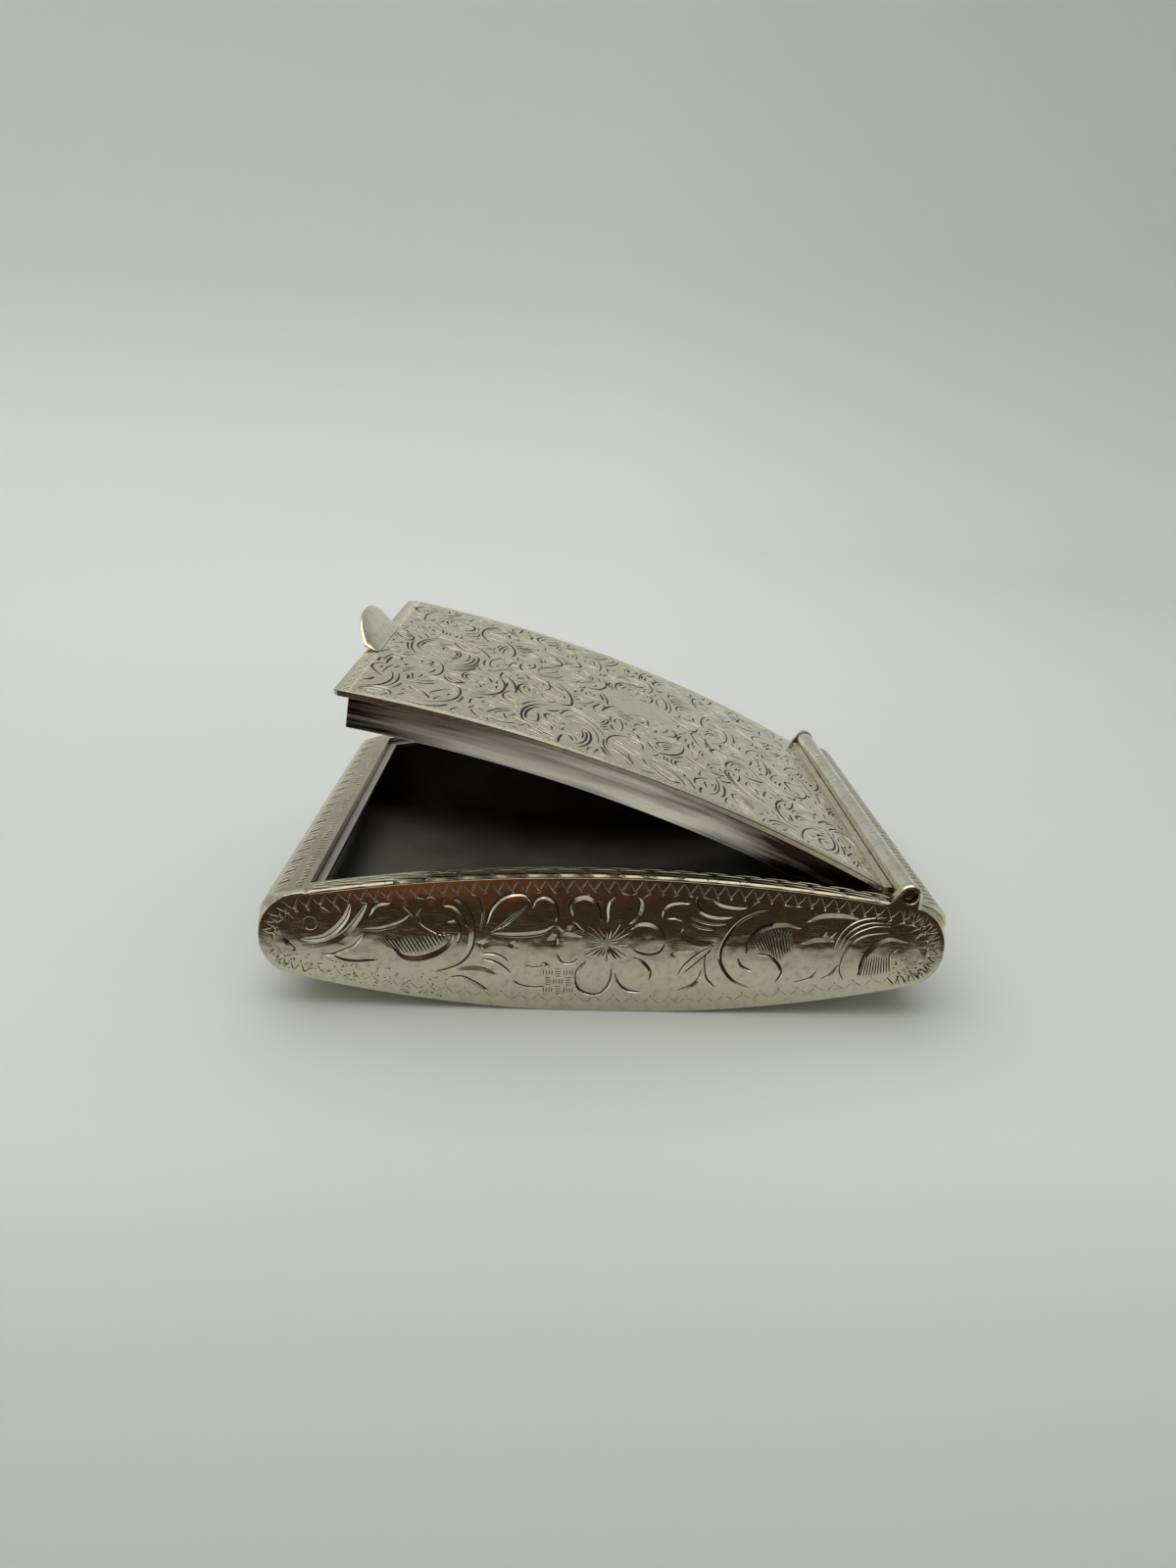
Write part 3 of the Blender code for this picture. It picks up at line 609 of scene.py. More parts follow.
# Each stroke: how wide it opens to its left and to its right, and the points that it passes.
PANEL_SCROLLS = (
    # The big comma leaves at the thumb-piece end, and the curl between them.
    (0.30, 0.42, ((-31.3, 14.3), (-32.0, 12.3), (-33.5, 10.5), (-35.2, 9.5), (-37.7, 9.3))),
    (0.45, 0.25, ((-29.3, 14.5), (-30.6, 12.4), (-32.1, 10.5), (-34.1, 9.2), (-36.1, 8.6), (-37.8, 8.6))),
    (0.25, 0.45, ((-29.9, 10.3), (-31.1, 8.7), (-32.8, 7.8), (-34.2, 7.3), (-35.6, 7.4))),
    (0.10, 0.30, ((-28.2, 6.7), (-30.9, 6.4), (-32.6, 6.6), (-33.8, 7.2))),
    (0.40, 0.12, ((-30.0, 10.9), (-28.2, 10.8), (-26.2, 11.3), (-24.7, 12.1), (-23.9, 13.1))),
    (0.10, 0.35, ((-29.1, 12.7), (-28.7, 13.9), (-27.7, 14.6), (-26.3, 14.6))),
    (0.12, 0.12, ((-25.0, 14.4), (-24.2, 13.6), (-23.6, 12.7))),
    (0.20, 0.30, ((-40.0, 9.8), (-39.2, 8.7), (-38.3, 7.8))),
    (0.50, 0.12, ((-18.7, 10.5), (-19.6, 9.0), (-21.3, 7.8), (-23.3, 7.2), (-25.0, 7.4), (-26.1, 8.5))),
    (0.14, 0.14, ((-22.5, 14.0), (-23.1, 13.2), (-22.8, 12.1), (-21.8, 11.2), (-20.1, 10.4), (-19.0, 10.7))),
    # The C scroll and its twigs.
    (
        0.12,
        0.50,
        (
            (-18.8, 15.6),
            (-17.3, 14.7),
            (-16.3, 13.0),
            (-16.1, 10.9),
            (-16.4, 8.6),
            (-17.3, 7.0),
            (-18.8, 5.9),
            (-21.2, 5.1),
        ),
    ),
    (0.12, 0.30, ((-20.0, 14.4), (-18.7, 14.4), (-17.5, 13.2), (-16.9, 11.4))),
    (0.12, 0.34, ((-19.5, 12.1), (-18.5, 12.5), (-17.9, 11.6), (-17.8, 10.3), (-18.2, 9.0))),
    (0.10, 0.12, ((-15.7, 15.8), (-15.1, 14.5), (-15.0, 13.0), (-15.4, 11.1))),
    # The leaf to the left of the flower, and the one under it.
    (0.12, 0.30, ((-14.6, 11.9), (-14.1, 13.9), (-12.9, 15.5), (-11.3, 16.2), (-9.8, 16.1), (-9.1, 15.1))),
    (0.14, 0.10, ((-14.1, 10.8), (-12.3, 12.2), (-10.6, 14.0))),
    (0.14, 0.10, ((-13.2, 11.2), (-11.2, 12.8), (-9.5, 14.7))),
    (0.10, 0.30, ((-8.9, 14.2), (-8.6, 15.4), (-7.4, 16.0), (-6.1, 15.2), (-5.7, 13.5), (-6.0, 12.0))),
    (0.10, 0.50, ((-6.0, 12.0), (-7.3, 10.9), (-9.3, 10.4), (-11.8, 10.3), (-14.1, 10.6))),
    (0.08, 0.50, ((-15.4, 8.5), (-14.6, 9.3), (-13.1, 9.7), (-11.8, 9.4), (-10.8, 8.6))),
    (0.16, 0.16, ((-15.4, 7.8), (-14.0, 7.9), (-12.7, 7.5), (-11.7, 6.7))),
    (0.20, 0.14, ((-15.4, 7.2), (-13.7, 6.8), (-12.4, 6.0), (-11.4, 5.1))),
    (0.10, 0.42, ((-18.4, 5.6), (-16.6, 6.0), (-14.8, 5.8), (-13.1, 4.9))),
    (0.20, 0.30, ((-19.4, 4.4), (-17.7, 4.5), (-16.0, 3.7), (-14.2, 2.5))),
    (0.14, 0.16, ((-11.3, 4.3), (-10.3, 3.5), (-8.8, 3.2), (-7.1, 3.4))),
    (0.10, 0.14, ((-10.1, 6.4), (-8.6, 6.1), (-7.2, 6.4))),
    (0.12, 0.22, ((-7.9, 6.4), (-7.2, 6.7), (-6.6, 6.0))),
    # The flower's petals.
    (0.10, 0.45, ((-3.9, 13.3), (-4.4, 14.5), (-3.8, 15.7), (-2.4, 16.2), (-1.0, 15.5), (-0.5, 13.8))),
    (0.30, 0.12, ((-3.9, 12.6), (-3.1, 11.5), (-2.3, 11.1))),
    (0.10, 0.45, ((-5.8, 9.2), (-5.9, 10.3), (-4.8, 11.1), (-3.4, 10.9), (-2.6, 10.5))),
    (0.12, 0.12, ((-5.9, 8.3), (-5.1, 6.9), (-4.0, 6.8), (-2.9, 7.6))),
    (0.14, 0.35, ((0.0, 2.7), (-1.1, 2.3), (-2.6, 2.8), (-3.3, 4.0), (-3.2, 5.8), (-1.8, 7.4))),
    (0.14, 0.40, ((3.1, 12.4), (4.1, 13.8), (4.4, 15.3), (4.0, 16.1))),
    (0.14, 0.30, ((0.4, 12.5), (0.2, 14.3), (0.5, 15.5), (1.3, 16.1))),
    (0.14, 0.30, ((-1.5, 15.7), (-0.7, 14.7), (-0.4, 13.5), (-0.2, 12.5))),
    (0.12, 0.40, ((3.3, 11.6), (4.2, 12.5), (5.8, 12.6), (7.2, 11.7), (7.8, 10.1))),
    (0.12, 0.34, ((7.8, 10.1), (7.2, 8.7), (6.0, 8.1), (4.6, 8.4), (3.6, 9.0))),
    (0.12, 0.24, ((3.7, 7.9), (5.1, 7.2), (6.1, 5.9), (5.9, 4.4))),
    (0.22, 0.14, ((1.5, 5.7), (2.1, 4.1), (3.3, 3.0), (5.2, 2.8))),
    (0.16, 0.20, ((1.1, 6.3), (1.1, 4.8), (0.5, 3.2), (-0.6, 2.2))),
    # The leaves between the flower and the second C scroll.
    (0.10, 0.30, ((7.2, 13.3), (7.1, 14.3), (7.9, 15.3), (9.3, 15.6), (10.6, 15.4))),
    (0.10, 0.16, ((7.7, 13.3), (8.9, 13.4), (9.8, 12.9))),
    (0.12, 0.34, ((11.4, 16.5), (11.7, 14.8), (12.9, 14.0), (14.3, 13.7), (16.0, 13.7))),
    (0.12, 0.34, ((12.9, 16.6), (14.2, 15.6), (15.7, 15.2), (17.7, 15.0))),
    (0.14, 0.10, ((10.6, 13.5), (12.1, 12.9), (13.6, 12.6), (15.3, 12.7))),
    (0.14, 0.10, ((10.7, 12.7), (11.9, 12.1), (13.7, 11.8))),
    (0.12, 0.60, ((9.8, 12.0), (10.5, 10.9), (12.0, 10.3), (13.9, 10.2))),
    (0.08, 0.40, ((8.2, 7.7), (8.7, 8.5), (10.1, 8.9), (11.9, 9.0))),
    (0.14, 0.16, ((9.5, 5.3), (10.4, 6.9), (11.8, 8.3), (13.5, 9.5))),
    (0.10, 0.12, ((10.2, 5.6), (11.9, 7.3), (13.8, 9.2))),
    (0.26, 0.12, ((12.5, 6.4), (12.2, 5.0), (11.2, 3.9), (9.2, 3.0))),
    (0.12, 0.14, ((13.8, 9.5), (13.0, 8.3), (12.9, 6.6), (13.3, 5.0), (14.5, 3.7))),
    # The second C scroll, the fan and the leaves at the hinge end.
    (
        0.12,
        0.30,
        (
            (20.4, 14.7),
            (18.6, 14.1),
            (16.7, 12.7),
            (15.3, 10.4),
            (14.8, 8.3),
            (15.4, 6.4),
            (16.8, 4.7),
            (19.0, 3.7),
        ),
    ),
    (0.10, 0.50, ((17.9, 8.6), (18.1, 10.4), (19.1, 11.9), (20.7, 12.8), (22.8, 13.0), (24.7, 12.3))),
    (0.16, 0.24, ((19.2, 8.6), (20.8, 8.4), (22.2, 7.3), (22.7, 5.9), (21.9, 4.5))),
    (0.24, 0.20, ((16.9, 8.1), (17.6, 6.8), (19.0, 6.1))),
    (0.08, 0.50, ((25.2, 13.2), (26.4, 14.1), (28.1, 14.5), (30.2, 14.4), (31.9, 13.8))),
    (0.08, 0.50, ((24.7, 10.2), (26.4, 11.0), (28.2, 11.0), (29.0, 10.6))),
    (0.12, 0.14, ((28.9, 9.2), (29.2, 10.7), (30.0, 12.3), (31.4, 13.5), (33.1, 14.0), (35.1, 14.1))),
    (0.10, 0.12, ((29.4, 9.2), (29.8, 10.6), (30.7, 12.0), (32.1, 13.0), (33.7, 13.4), (35.8, 13.2))),
    (0.10, 0.12, ((29.8, 9.1), (30.4, 10.6), (31.3, 11.7), (32.7, 12.5), (34.1, 12.9), (35.9, 12.8))),
    (
        0.10,
        0.20,
        ((30.6, 5.1), (30.0, 6.5), (30.2, 8.4), (31.1, 10.4), (32.5, 11.5), (34.2, 11.9), (35.7, 12.0)),
    ),
    (0.12, 0.44, ((32.5, 5.8), (32.5, 7.5), (33.1, 9.2), (34.4, 10.6), (36.0, 11.3), (38.3, 10.7))),
    (0.12, 0.20, ((36.3, 7.7), (36.1, 8.7), (36.5, 9.4), (37.2, 9.7))),
    (0.12, 0.20, ((24.1, 4.7), (25.6, 5.0), (26.7, 5.7), (27.2, 6.6))),
    (0.12, 0.16, ((27.6, 5.2), (28.7, 5.8), (29.5, 6.8), (29.9, 7.6))),
)
# Fine hatching inside three of the leaves: its upper line, its lower line and how many cuts.
PANEL_HATCHES = (
    (
        ((-28.3, 9.9), (-25.4, 10.2), (-22.0, 10.6), (-19.3, 10.9)),
        ((-26.5, 8.2), (-25.0, 7.6), (-22.6, 7.7), (-20.6, 8.7), (-19.1, 10.3)),
        19,
    ),
    (
        ((18.7, 11.1), (19.9, 12.0), (21.6, 12.3), (23.4, 11.8)),
        ((19.9, 8.9), (21.0, 8.7), (22.3, 7.8), (23.8, 9.4)),
        13,
    ),
    (
        ((32.9, 8.4), (34.3, 8.9), (36.0, 8.7)),
        ((32.3, 5.5), (34.0, 5.6), (36.4, 6.3)),
        12,
    ),
)


FLOWER_HEART = (0.4, 9.6)
FLOWER_RAYS = 24
RAY_LENGTHS = (1.1, 1.7, 2.2, 2.7)
EYE_CENTRE = (-36.4, 11.6)
EYE_RADIUS = 0.8
WEAVE_CORNER = (-7.4, 2.4)
WEAVE_PITCH = (1.3, 1.25)
WEAVE_SIZE = (1.05, 1.0)


def round_cut(centre, radius, left, right):
    """A small ring, cut in two half turns."""
    cuts = []
    for start in (0.0, math.pi):
        turn = [start + math.pi * place / 4 for place in range(5)]
        arc = [(centre[0] + radius * math.cos(a), centre[1] + radius * math.sin(a)) for a in turn]
        cuts.append(Cut(arc, left, right, step=0.35))
    return cuts


def hatching(top, bottom, count, left, right):
    """Even lines that fill the space between two lines."""
    ends = []
    for border in (top, bottom):
        line = smooth_line(border, 0.2)
        along = np.concatenate([[0.0], np.cumsum(np.hypot(*np.diff(line, axis=0).T))])
        at = np.linspace(0.0, along[-1], count)
        ends.append(np.stack([np.interp(at, along, axis) for axis in line.T], axis=1))
    return [Cut((start, end), left, right) for start, end in zip(*ends)]


def basket_weave():
    """A square of small hatched squares, whose cuts stand upright and lie level by turns."""
    cuts = []
    for column in range(3):
        for row in range(3):
            u, v = WEAVE_CORNER[0] + WEAVE_PITCH[0] * column, WEAVE_CORNER[1] + WEAVE_PITCH[1] * row
            far_u, far_v = u + WEAVE_SIZE[0], v + WEAVE_SIZE[1]
            low, high = ((u, v), (far_u, v)), ((u, far_v), (far_u, far_v))
            if (column + row) % 2:
                low, high = (low[0], high[0]), (low[1], high[1])
            cuts += hatching(low, high, 4, 0.06, 0.09)
    return cuts


def flower_rays(rng):
    """Short cuts that fan out from the flower's heart, of uneven length."""
    cuts = []
    for ray in range(FLOWER_RAYS):
        turn = math.tau * ray / FLOWER_RAYS + rng.uniform(-0.06, 0.06)
        way = Vector((math.cos(turn), math.sin(turn)))
        start = Vector(FLOWER_HEART) + way * rng.uniform(0.3, 0.9)
        cuts.append(Cut((start, start + way * rng.choice(RAY_LENGTHS)), 0.10, 0.18))
    return cuts


def zigzag(start, end, rng, pitch, near, far, width, dot):
    """A walked border: strokes that lean one way and then the other, with a dot at each foot."""
    cuts = []
    count = round(abs(end - start) / pitch)
    for tooth in range(count):
        u = [start + (end - start) * (tooth + share) / count for share in (0.0, 0.5, 1.0)]
        ends = [np.array(PANEL_LINE.bend(at, depth)) for at, depth in zip(u, (far, near, far))]
        wobble = [rng.uniform(-0.06, 0.06) for _ in range(4)]
        cuts.append(Cut((ends[0] + wobble[0], ends[1] + wobble[1]), width, width))
        cuts.append(Cut((ends[1] + wobble[2], ends[2] + wobble[3]), width, width))
        foot = np.array(PANEL_LINE.bend(u[0] + 0.1, far + 0.35))
        cuts.append(Cut((ends[0] + 0.03, foot), dot, dot))
    return cuts


def ticks(start, end, rng, pitch, near, far, lean):
    """Short strokes that stand across a panel's border, leaning along it."""
    cuts = []
    for u in between(start, end, pitch):
        u += rng.uniform(-0.1, 0.1) * pitch
        outer = PANEL_LINE.bend(u, near)
        inner = PANEL_LINE.bend(u + lean, far + rng.uniform(-0.15, 0.15))
        cuts.append(Cut((outer, inner), 0.06, 0.09))
    return cuts


def panel_cuts():
    """Scroll leaves round a flower, inside a zig-zag border, as on the photographed side.

    The border runs left to right over the top and back again underneath. Small pricks fill the
    corner at the hinge end and a band along the bottom.
    """
    rng = random.Random(3)
    cuts = [
        Cut(points, left * PANEL_CUT_SHARE, right * PANEL_CUT_SHARE, deepest=DEEPEST_PANEL_CUT)
        for left, right, points in PANEL_SCROLLS
    ]
    cuts += round_cut(EYE_CENTRE, EYE_RADIUS, 0.06, 0.16)
    cuts += flower_rays(rng)
    for top, bottom, count in PANEL_HATCHES:
        cuts += hatching(top, bottom, count, 0.09, 0.15)
    cuts += basket_weave()
    for _ in range(80):
        spot = Vector((rng.uniform(36.7, 41.3), rng.uniform(5.8, 8.9)))
        cuts.append(Cut((spot, spot + Vector((0.22, -0.12))), 0.08, 0.08))
    shoulder = PANEL_SHOULDER_RADIUS * (math.pi / 2 - 0.25)
    ear, under, end = PANEL_LINE.distance_at(EAR_FOOT_X), PANEL_LINE.length / 2, PANEL_LINE.length
    cuts += zigzag(shoulder, ear - 1.2, rng, pitch=1.7, near=0.62, far=2.05, width=0.10, dot=0.18)
    cuts += zigzag(under + 9.5, end - 9.5, rng, pitch=2.35, near=1.2, far=2.1, width=0.04, dot=0.06)
    cuts += ticks(under - 9.0, under + 8.5, rng, pitch=0.72, near=0.45, far=2.1, lean=0.3)
    cuts += zigzag(0.2, shoulder - 0.6, rng, pitch=1.4, near=0.55, far=1.9, width=0.10, dot=0.16)
    cuts += zigzag(end - 9.0, end - 0.4, rng, pitch=1.5, near=0.6, far=1.9, width=0.08, dot=0.12)
    for _ in range(130):
        u, v = PANEL_LINE.bend(end - rng.uniform(1.0, 26.0), rng.uniform(0.5, 3.4))
        cuts.append(Cut(((u, v), (u + 0.38, v + rng.uniform(-0.2, 0.3))), 0.07, 0.10))
    return cuts


class Taken:
    """Remembers where strokes already lie, so that the next ones keep their distance."""

    def __init__(self, cell):
        self.cell = cell
        self.spots = {}

    def square(self, point):
        return int(point[0] // self.cell), int(point[1] // self.cell)

    def free(self, point, gap):
        u, v = self.square(point)
        for near_u in (u - 1, u, u + 1):
            for near_v in (v - 1, v, v + 1):
                for spot in self.spots.get((near_u, near_v), ()):
                    if (spot[0] - point[0]) ** 2 + (spot[1] - point[1]) ** 2 < gap * gap:
                        return False
        return True

    def fill(self, line):
        for point in line:
            self.spots.setdefault(self.square(point), []).append(point)


# The scrolls: how far one's centre is from the next along the plate and across it, their sizes,
# how far they are drawn out across the plate, and how thin and how wide a stroke opens.
SCROLL_PITCH = (9.6, 7.4)
SCROLL_SIZES = (5.2, 7.0)
SCROLL_DRAWN_OUT = 1.6
SCROLL_END_MARGIN = 0.5
SCROLL_WIDTHS = ((0.16, 0.42), (0.13, 0.31), (0.10, 0.24))
FILLING_STROKES = 2600
FILLING_STEP = 0.4
SHORT_STROKE = 6


def heading(turn):
    return np.array((math.cos(turn), math.sin(turn)))


def scroll_strokes(centre, hand, size, rng):
    """The strokes of one scroll, ring by ring: arcs that widen outward from a small hook."""
    strokes = []
    radius = rng.uniform(0.5, 1.0)
    first = rng.uniform(0.0, math.tau)
    while radius < size:
        count = max(1 if radius < 1.5 else 2, round(math.tau * radius / rng.uniform(6.0, 12.0)))
        first += hand * rng.uniform(0.2, 0.8)
        for part in range(count):
            sweep = math.tau / count * rng.uniform(0.5, 0.85)
            start = first + math.tau * part / count
            line = []
            for share in between(0.0, 1.0, FILLING_STEP / (radius * sweep)):
                hook = 0.45 * max(0.0, 1.0 - share / 0.22) ** 2
                reach = radius * (1.0 - hook) + 0.7 * share
                line.append(centre + heading(start + hand * sweep * share) * reach)
            strokes.append(line)
        radius += rng.uniform(0.5, 0.8)
    return strokes


def filling_stroke(length, width, rng):
    """A short bowed stroke anywhere on the plate, and the hand that it turns to."""
    turn, bow = rng.uniform(0, math.tau), rng.choice((-0.35, 0.35))
    line = [np.array((rng.uniform(0, length), rng.uniform(0, width)))]
    for step in range(rng.choice((3, 4, 6))):
        line.append(line[-1] + FILLING_STEP * heading(turn + bow * step))
    return math.copysign(1.0, bow), line


def scroll_cuts(length, width, margin, gap, rng, bare=((0.0, 0.0), (0.0, 0.0))):
    """Scrolls all over a plate, turning by turns left and right, that never touch.

    bare is a box, as two corners, that stays plain among the scrolls. The scrolls are drawn
    round and then drawn out across the plate, the longest strokes first.
    """
    taken = Taken(1.0)
    draw_out = np.array((1.0, SCROLL_DRAWN_OUT))
    low, high = np.array(bare[0]), np.array(bare[1])
    edge = np.array((length - SCROLL_END_MARGIN, width - margin))
    narrow = width / SCROLL_DRAWN_OUT
    strokes = []
    for row, v in enumerate(between(0.0, narrow, SCROLL_PITCH[1])):
        for column, u in enumerate(between(-3.0, length + 3.0, SCROLL_PITCH[0])):
            stagger = SCROLL_PITCH[0] / 2 * (row % 2)
            off = (stagger + rng.uniform(-1.2, 1.2), rng.uniform(-1.0, 1.0))
            centre = np.array((u, v)) + off
            hand = 1.0 if (row + column) % 2 else -1.0
            for line in scroll_strokes(centre, hand, rng.uniform(*SCROLL_SIZES), rng):
                strokes.append((hand, line))
    strokes.sort(key=lambda stroke: -len(stroke[1]))
    strokes += [filling_stroke(length, narrow, rng) for _ in range(FILLING_STROKES)]
    cuts = []
    for hand, line in strokes:
        run, best = [], []
        for point in line:
            place = point * draw_out
            on_face = (place > margin).all() and (place < edge).all()
            kept_bare = (place > low).all() and (place < high).all()
            run = run + [point] if on_face and not kept_bare and taken.free(point, gap) else []
            best = run if len(run) > len(best) else best
        if len(best) < FEWEST_POINTS:
            continue
        taken.fill(best)
        thin, wide = rng.choices(SCROLL_WIDTHS, (0.3, 0.4, 0.3))[0]
        if len(best) < SHORT_STROKE:
            thin, wide = SCROLL_WIDTHS[-1]
        left, right = (thin, wide) if hand > 0 else (wide, thin)
        points = [point * draw_out for point in (best if len(best) < SHORT_STROKE else best[::2])]
        cuts.append(Cut(points, left, right, rng.choice((0.6, 0.8, 1.3))))
    return cuts


def leaf_cuts(tips, rng):
    """Overlapping laurel leaves that run back from the outer edge of a side rim.

    Each is hollowed out between thin ridges, so that the hollows hold dirt and the ridges shine.
    """
    cuts = []
    for tip in tips:
        leaf = ((tip, 0.52), (tip - 0.9, 0.70), (tip - 2.4, 0.90), (tip - 4.4, 1.10))
        cuts.append(Cut(leaf, 0.34, 0.36, late=0.6))
        for shift, v, run in ((-0.6, 1.58, 3.6), (-2.6, 2.12, 3.4), (-0.9, 2.50, 2.4)):
            back = tip + shift + rng.uniform(-0.15, 0.15)
            leaf = ((back, v), (back - run * 0.3, v + 0.12), (back - run, v + 0.16))
            cuts.append(Cut(leaf, 0.22, 0.24, late=0.7))
    return cuts


THUMB_STROKE_PITCH = 1.15
THUMB_TICK_PITCH = 1.0


def thumb_rim_cuts(width, rng):
    """Slanted strokes, each third one dug in deep, and short ticks beside the opening."""
    cuts = []
    for stroke, v in enumerate(between(0.2, width - 0.2, THUMB_STROKE_PITCH)):
        v += rng.uniform(-0.1, 0.1)
        out = rng.uniform(6.2, 7.2)
        cuts.append(Cut(((out, v - 2.2), (5.0, v - 1.1), (4.3, v - 0.6)), 0.10, 0.20))
        thin, wide = (0.30, 0.50) if stroke % 3 == 0 else (0.14, 0.26)
        cuts.append(Cut(((4.7, v - 1.0), (3.7, v - 0.35), (2.8, v)), thin, wide, late=1.3))
    for v in between(0.3, width - 0.3, THUMB_TICK_PITCH):
        v += rng.uniform(-0.1, 0.1)
        far = rng.uniform(1.7, 2.1)
        cuts.append(Cut(((0.75, v), (1.3, v + 0.10), (far, v + 0.02)), 0.16, 0.34))
    return cuts


HINGE_TOOTH_PITCH = 0.62
HINGE_TOOTH_LEAN = 0.45


def hinge_rim_cuts(length, width, rng):
    """A fine, worn zig-zag beside the barrel."""
    cuts = []
    for tooth, v in enumerate(between(0.5, width - 0.5, HINGE_TOOTH_PITCH)):
        lean = HINGE_TOOTH_LEAN if tooth % 2 else -HINGE_TOOTH_LEAN
        start, end = 1.0 + rng.uniform(0, 0.2), length - 1.6 - rng.uniform(0, 0.5)
        cuts.append(Cut(((start, v - lean), (end, v + lean)), 0.08, 0.20))
    return cuts


# The lid's borders: how far in from each side its two moulded lines run, how far apart the
# ticks stand at the thumb-piece and along the sides, and where the latter start and end.
LID_MOULDINGS = (0.42, 0.86)
LID_TICK_PITCH = 0.62
LID_SIDE_TICK_PITCH = 0.8
LID_SIDE_TICK = (1.12, 1.56)


def lid_cuts(length, width, bare, rng):
    """The lid's scrolls, with mouldings along both sides and ticks at the thumb-piece."""
    cuts = scroll_cuts(length, width, 1.7, 0.38, rng, bare)
    outer, inner = LID_MOULDINGS
    for v in (outer, inner, width - inner, width - outer):
        for start in (0.5, 35.5):
            line = [(start + 5.0 * place, v) for place in range(8)]
            cuts.append(Cut(line, 0.12, 0.12, step=2.5))
    for v in between(1.3, width - 1.3, LID_TICK_PITCH):
        v += rng.uniform(-0.06, 0.06)
        cuts.append(Cut(((0.6, v), (1.9 + rng.uniform(-0.1, 0.15), v + 0.25)), 0.14, 0.34))
    near, far = LID_SIDE_TICK
    for u in between(2.0, length - 1.0, LID_SIDE_TICK_PITCH):
        u += rng.uniform(-0.1, 0.1)
        cuts.append(Cut(((u, near), (u + 0.4, far)), 0.05, 0.14))
        cuts.append(Cut(((u, width - near), (u + 0.4, width - far)), 0.05, 0.14))
    return cuts


# Materials.


def colour(code):
    """An sRGB hex code as the linear colour that shader sockets take."""
    parts = [int(code[at : at + 2], 16) / 255 for at in (1, 3, 5)]
    linear = [part / 12.92 if part <= 0.04045 else ((part + 0.055) / 1.055) ** 2.4 for part in parts]
    return (*linear, 1.0)


def add(tree, kind, inputs=None, **settings):
    """Adds a node. inputs gives each socket a value, a hex colour, or what feeds it.

    A node feeds a socket from its first live output. MapRange takes a value at 0, where it comes
    from at 1 and 2, and where it goes to at 3 and 4, which are 0 and 1 unless given.
    """
    made = tree.nodes.new("ShaderNode" + kind)
    for name, value in settings.items():
        setattr(made, name, value)
    for socket, value in (inputs or {}).items():
        if isinstance(value, bpy.types.Node):
            value = next(output for output in value.outputs if output.enabled)
        if isinstance(value, bpy.types.NodeSocket):
            tree.links.new(value, made.inputs[socket])
        else:
            made.inputs[socket].default_value = colour(value) if isinstance(value, str) else value
    return made


def new_material(name):
    material = bpy.data.materials.new(name)
    material.use_nodes = True
    tree = material.node_tree
    tree.nodes.clear()
    return material, tree


def in_millimetres(tree):
    """A piece's own coordinates in millimetres, so that pattern scales read as real ones."""
    place = add(tree, "TexCoord").outputs["Object"]
    return add(tree, "VectorMath", {0: place, "Scale": 1 / MM}, operation="SCALE")


def metal(tree, tone, rough, relief=None):
    """Closes a material with bare metal of this tone and roughness."""
    inputs = {"Base Color": tone, "Metallic": 1.0, "Roughness": rough}
    if relief:
        inputs["Normal"] = relief
    add(tree, "OutputMaterial", {"Surface": add(tree, "BsdfPrincipled", inputs)})


# How large each pattern is on the metal, in millimetres: patches and dents across, and strokes
# by their length and by how far apart they lie. Real polishing marks and scratches lie ten times
# closer, too fine to show here, so they are drawn as coarse as they need to be.
FILM_PATCH = 6.25
SPECK = 0.90909
HAMMER_DENT = 3.3333
POLISHING_MARKS = (2.0, 1 / 6)
SCRATCHES = (1.04167, 1 / 8)
CLOUD_INSIDE = 8.3333
SCOURING_MARKS = (2.5, 1 / 9)
STREAK_LENGTH = 16.6667
AGEING_ON_BRASS = 0.66667

# An end panel mirrors as if it leaned back: its slope at the foot, and how much steeper it gets
# with each millimetre of height.
PANEL_LEAN = 0.089
PANEL_BOW = 0.012


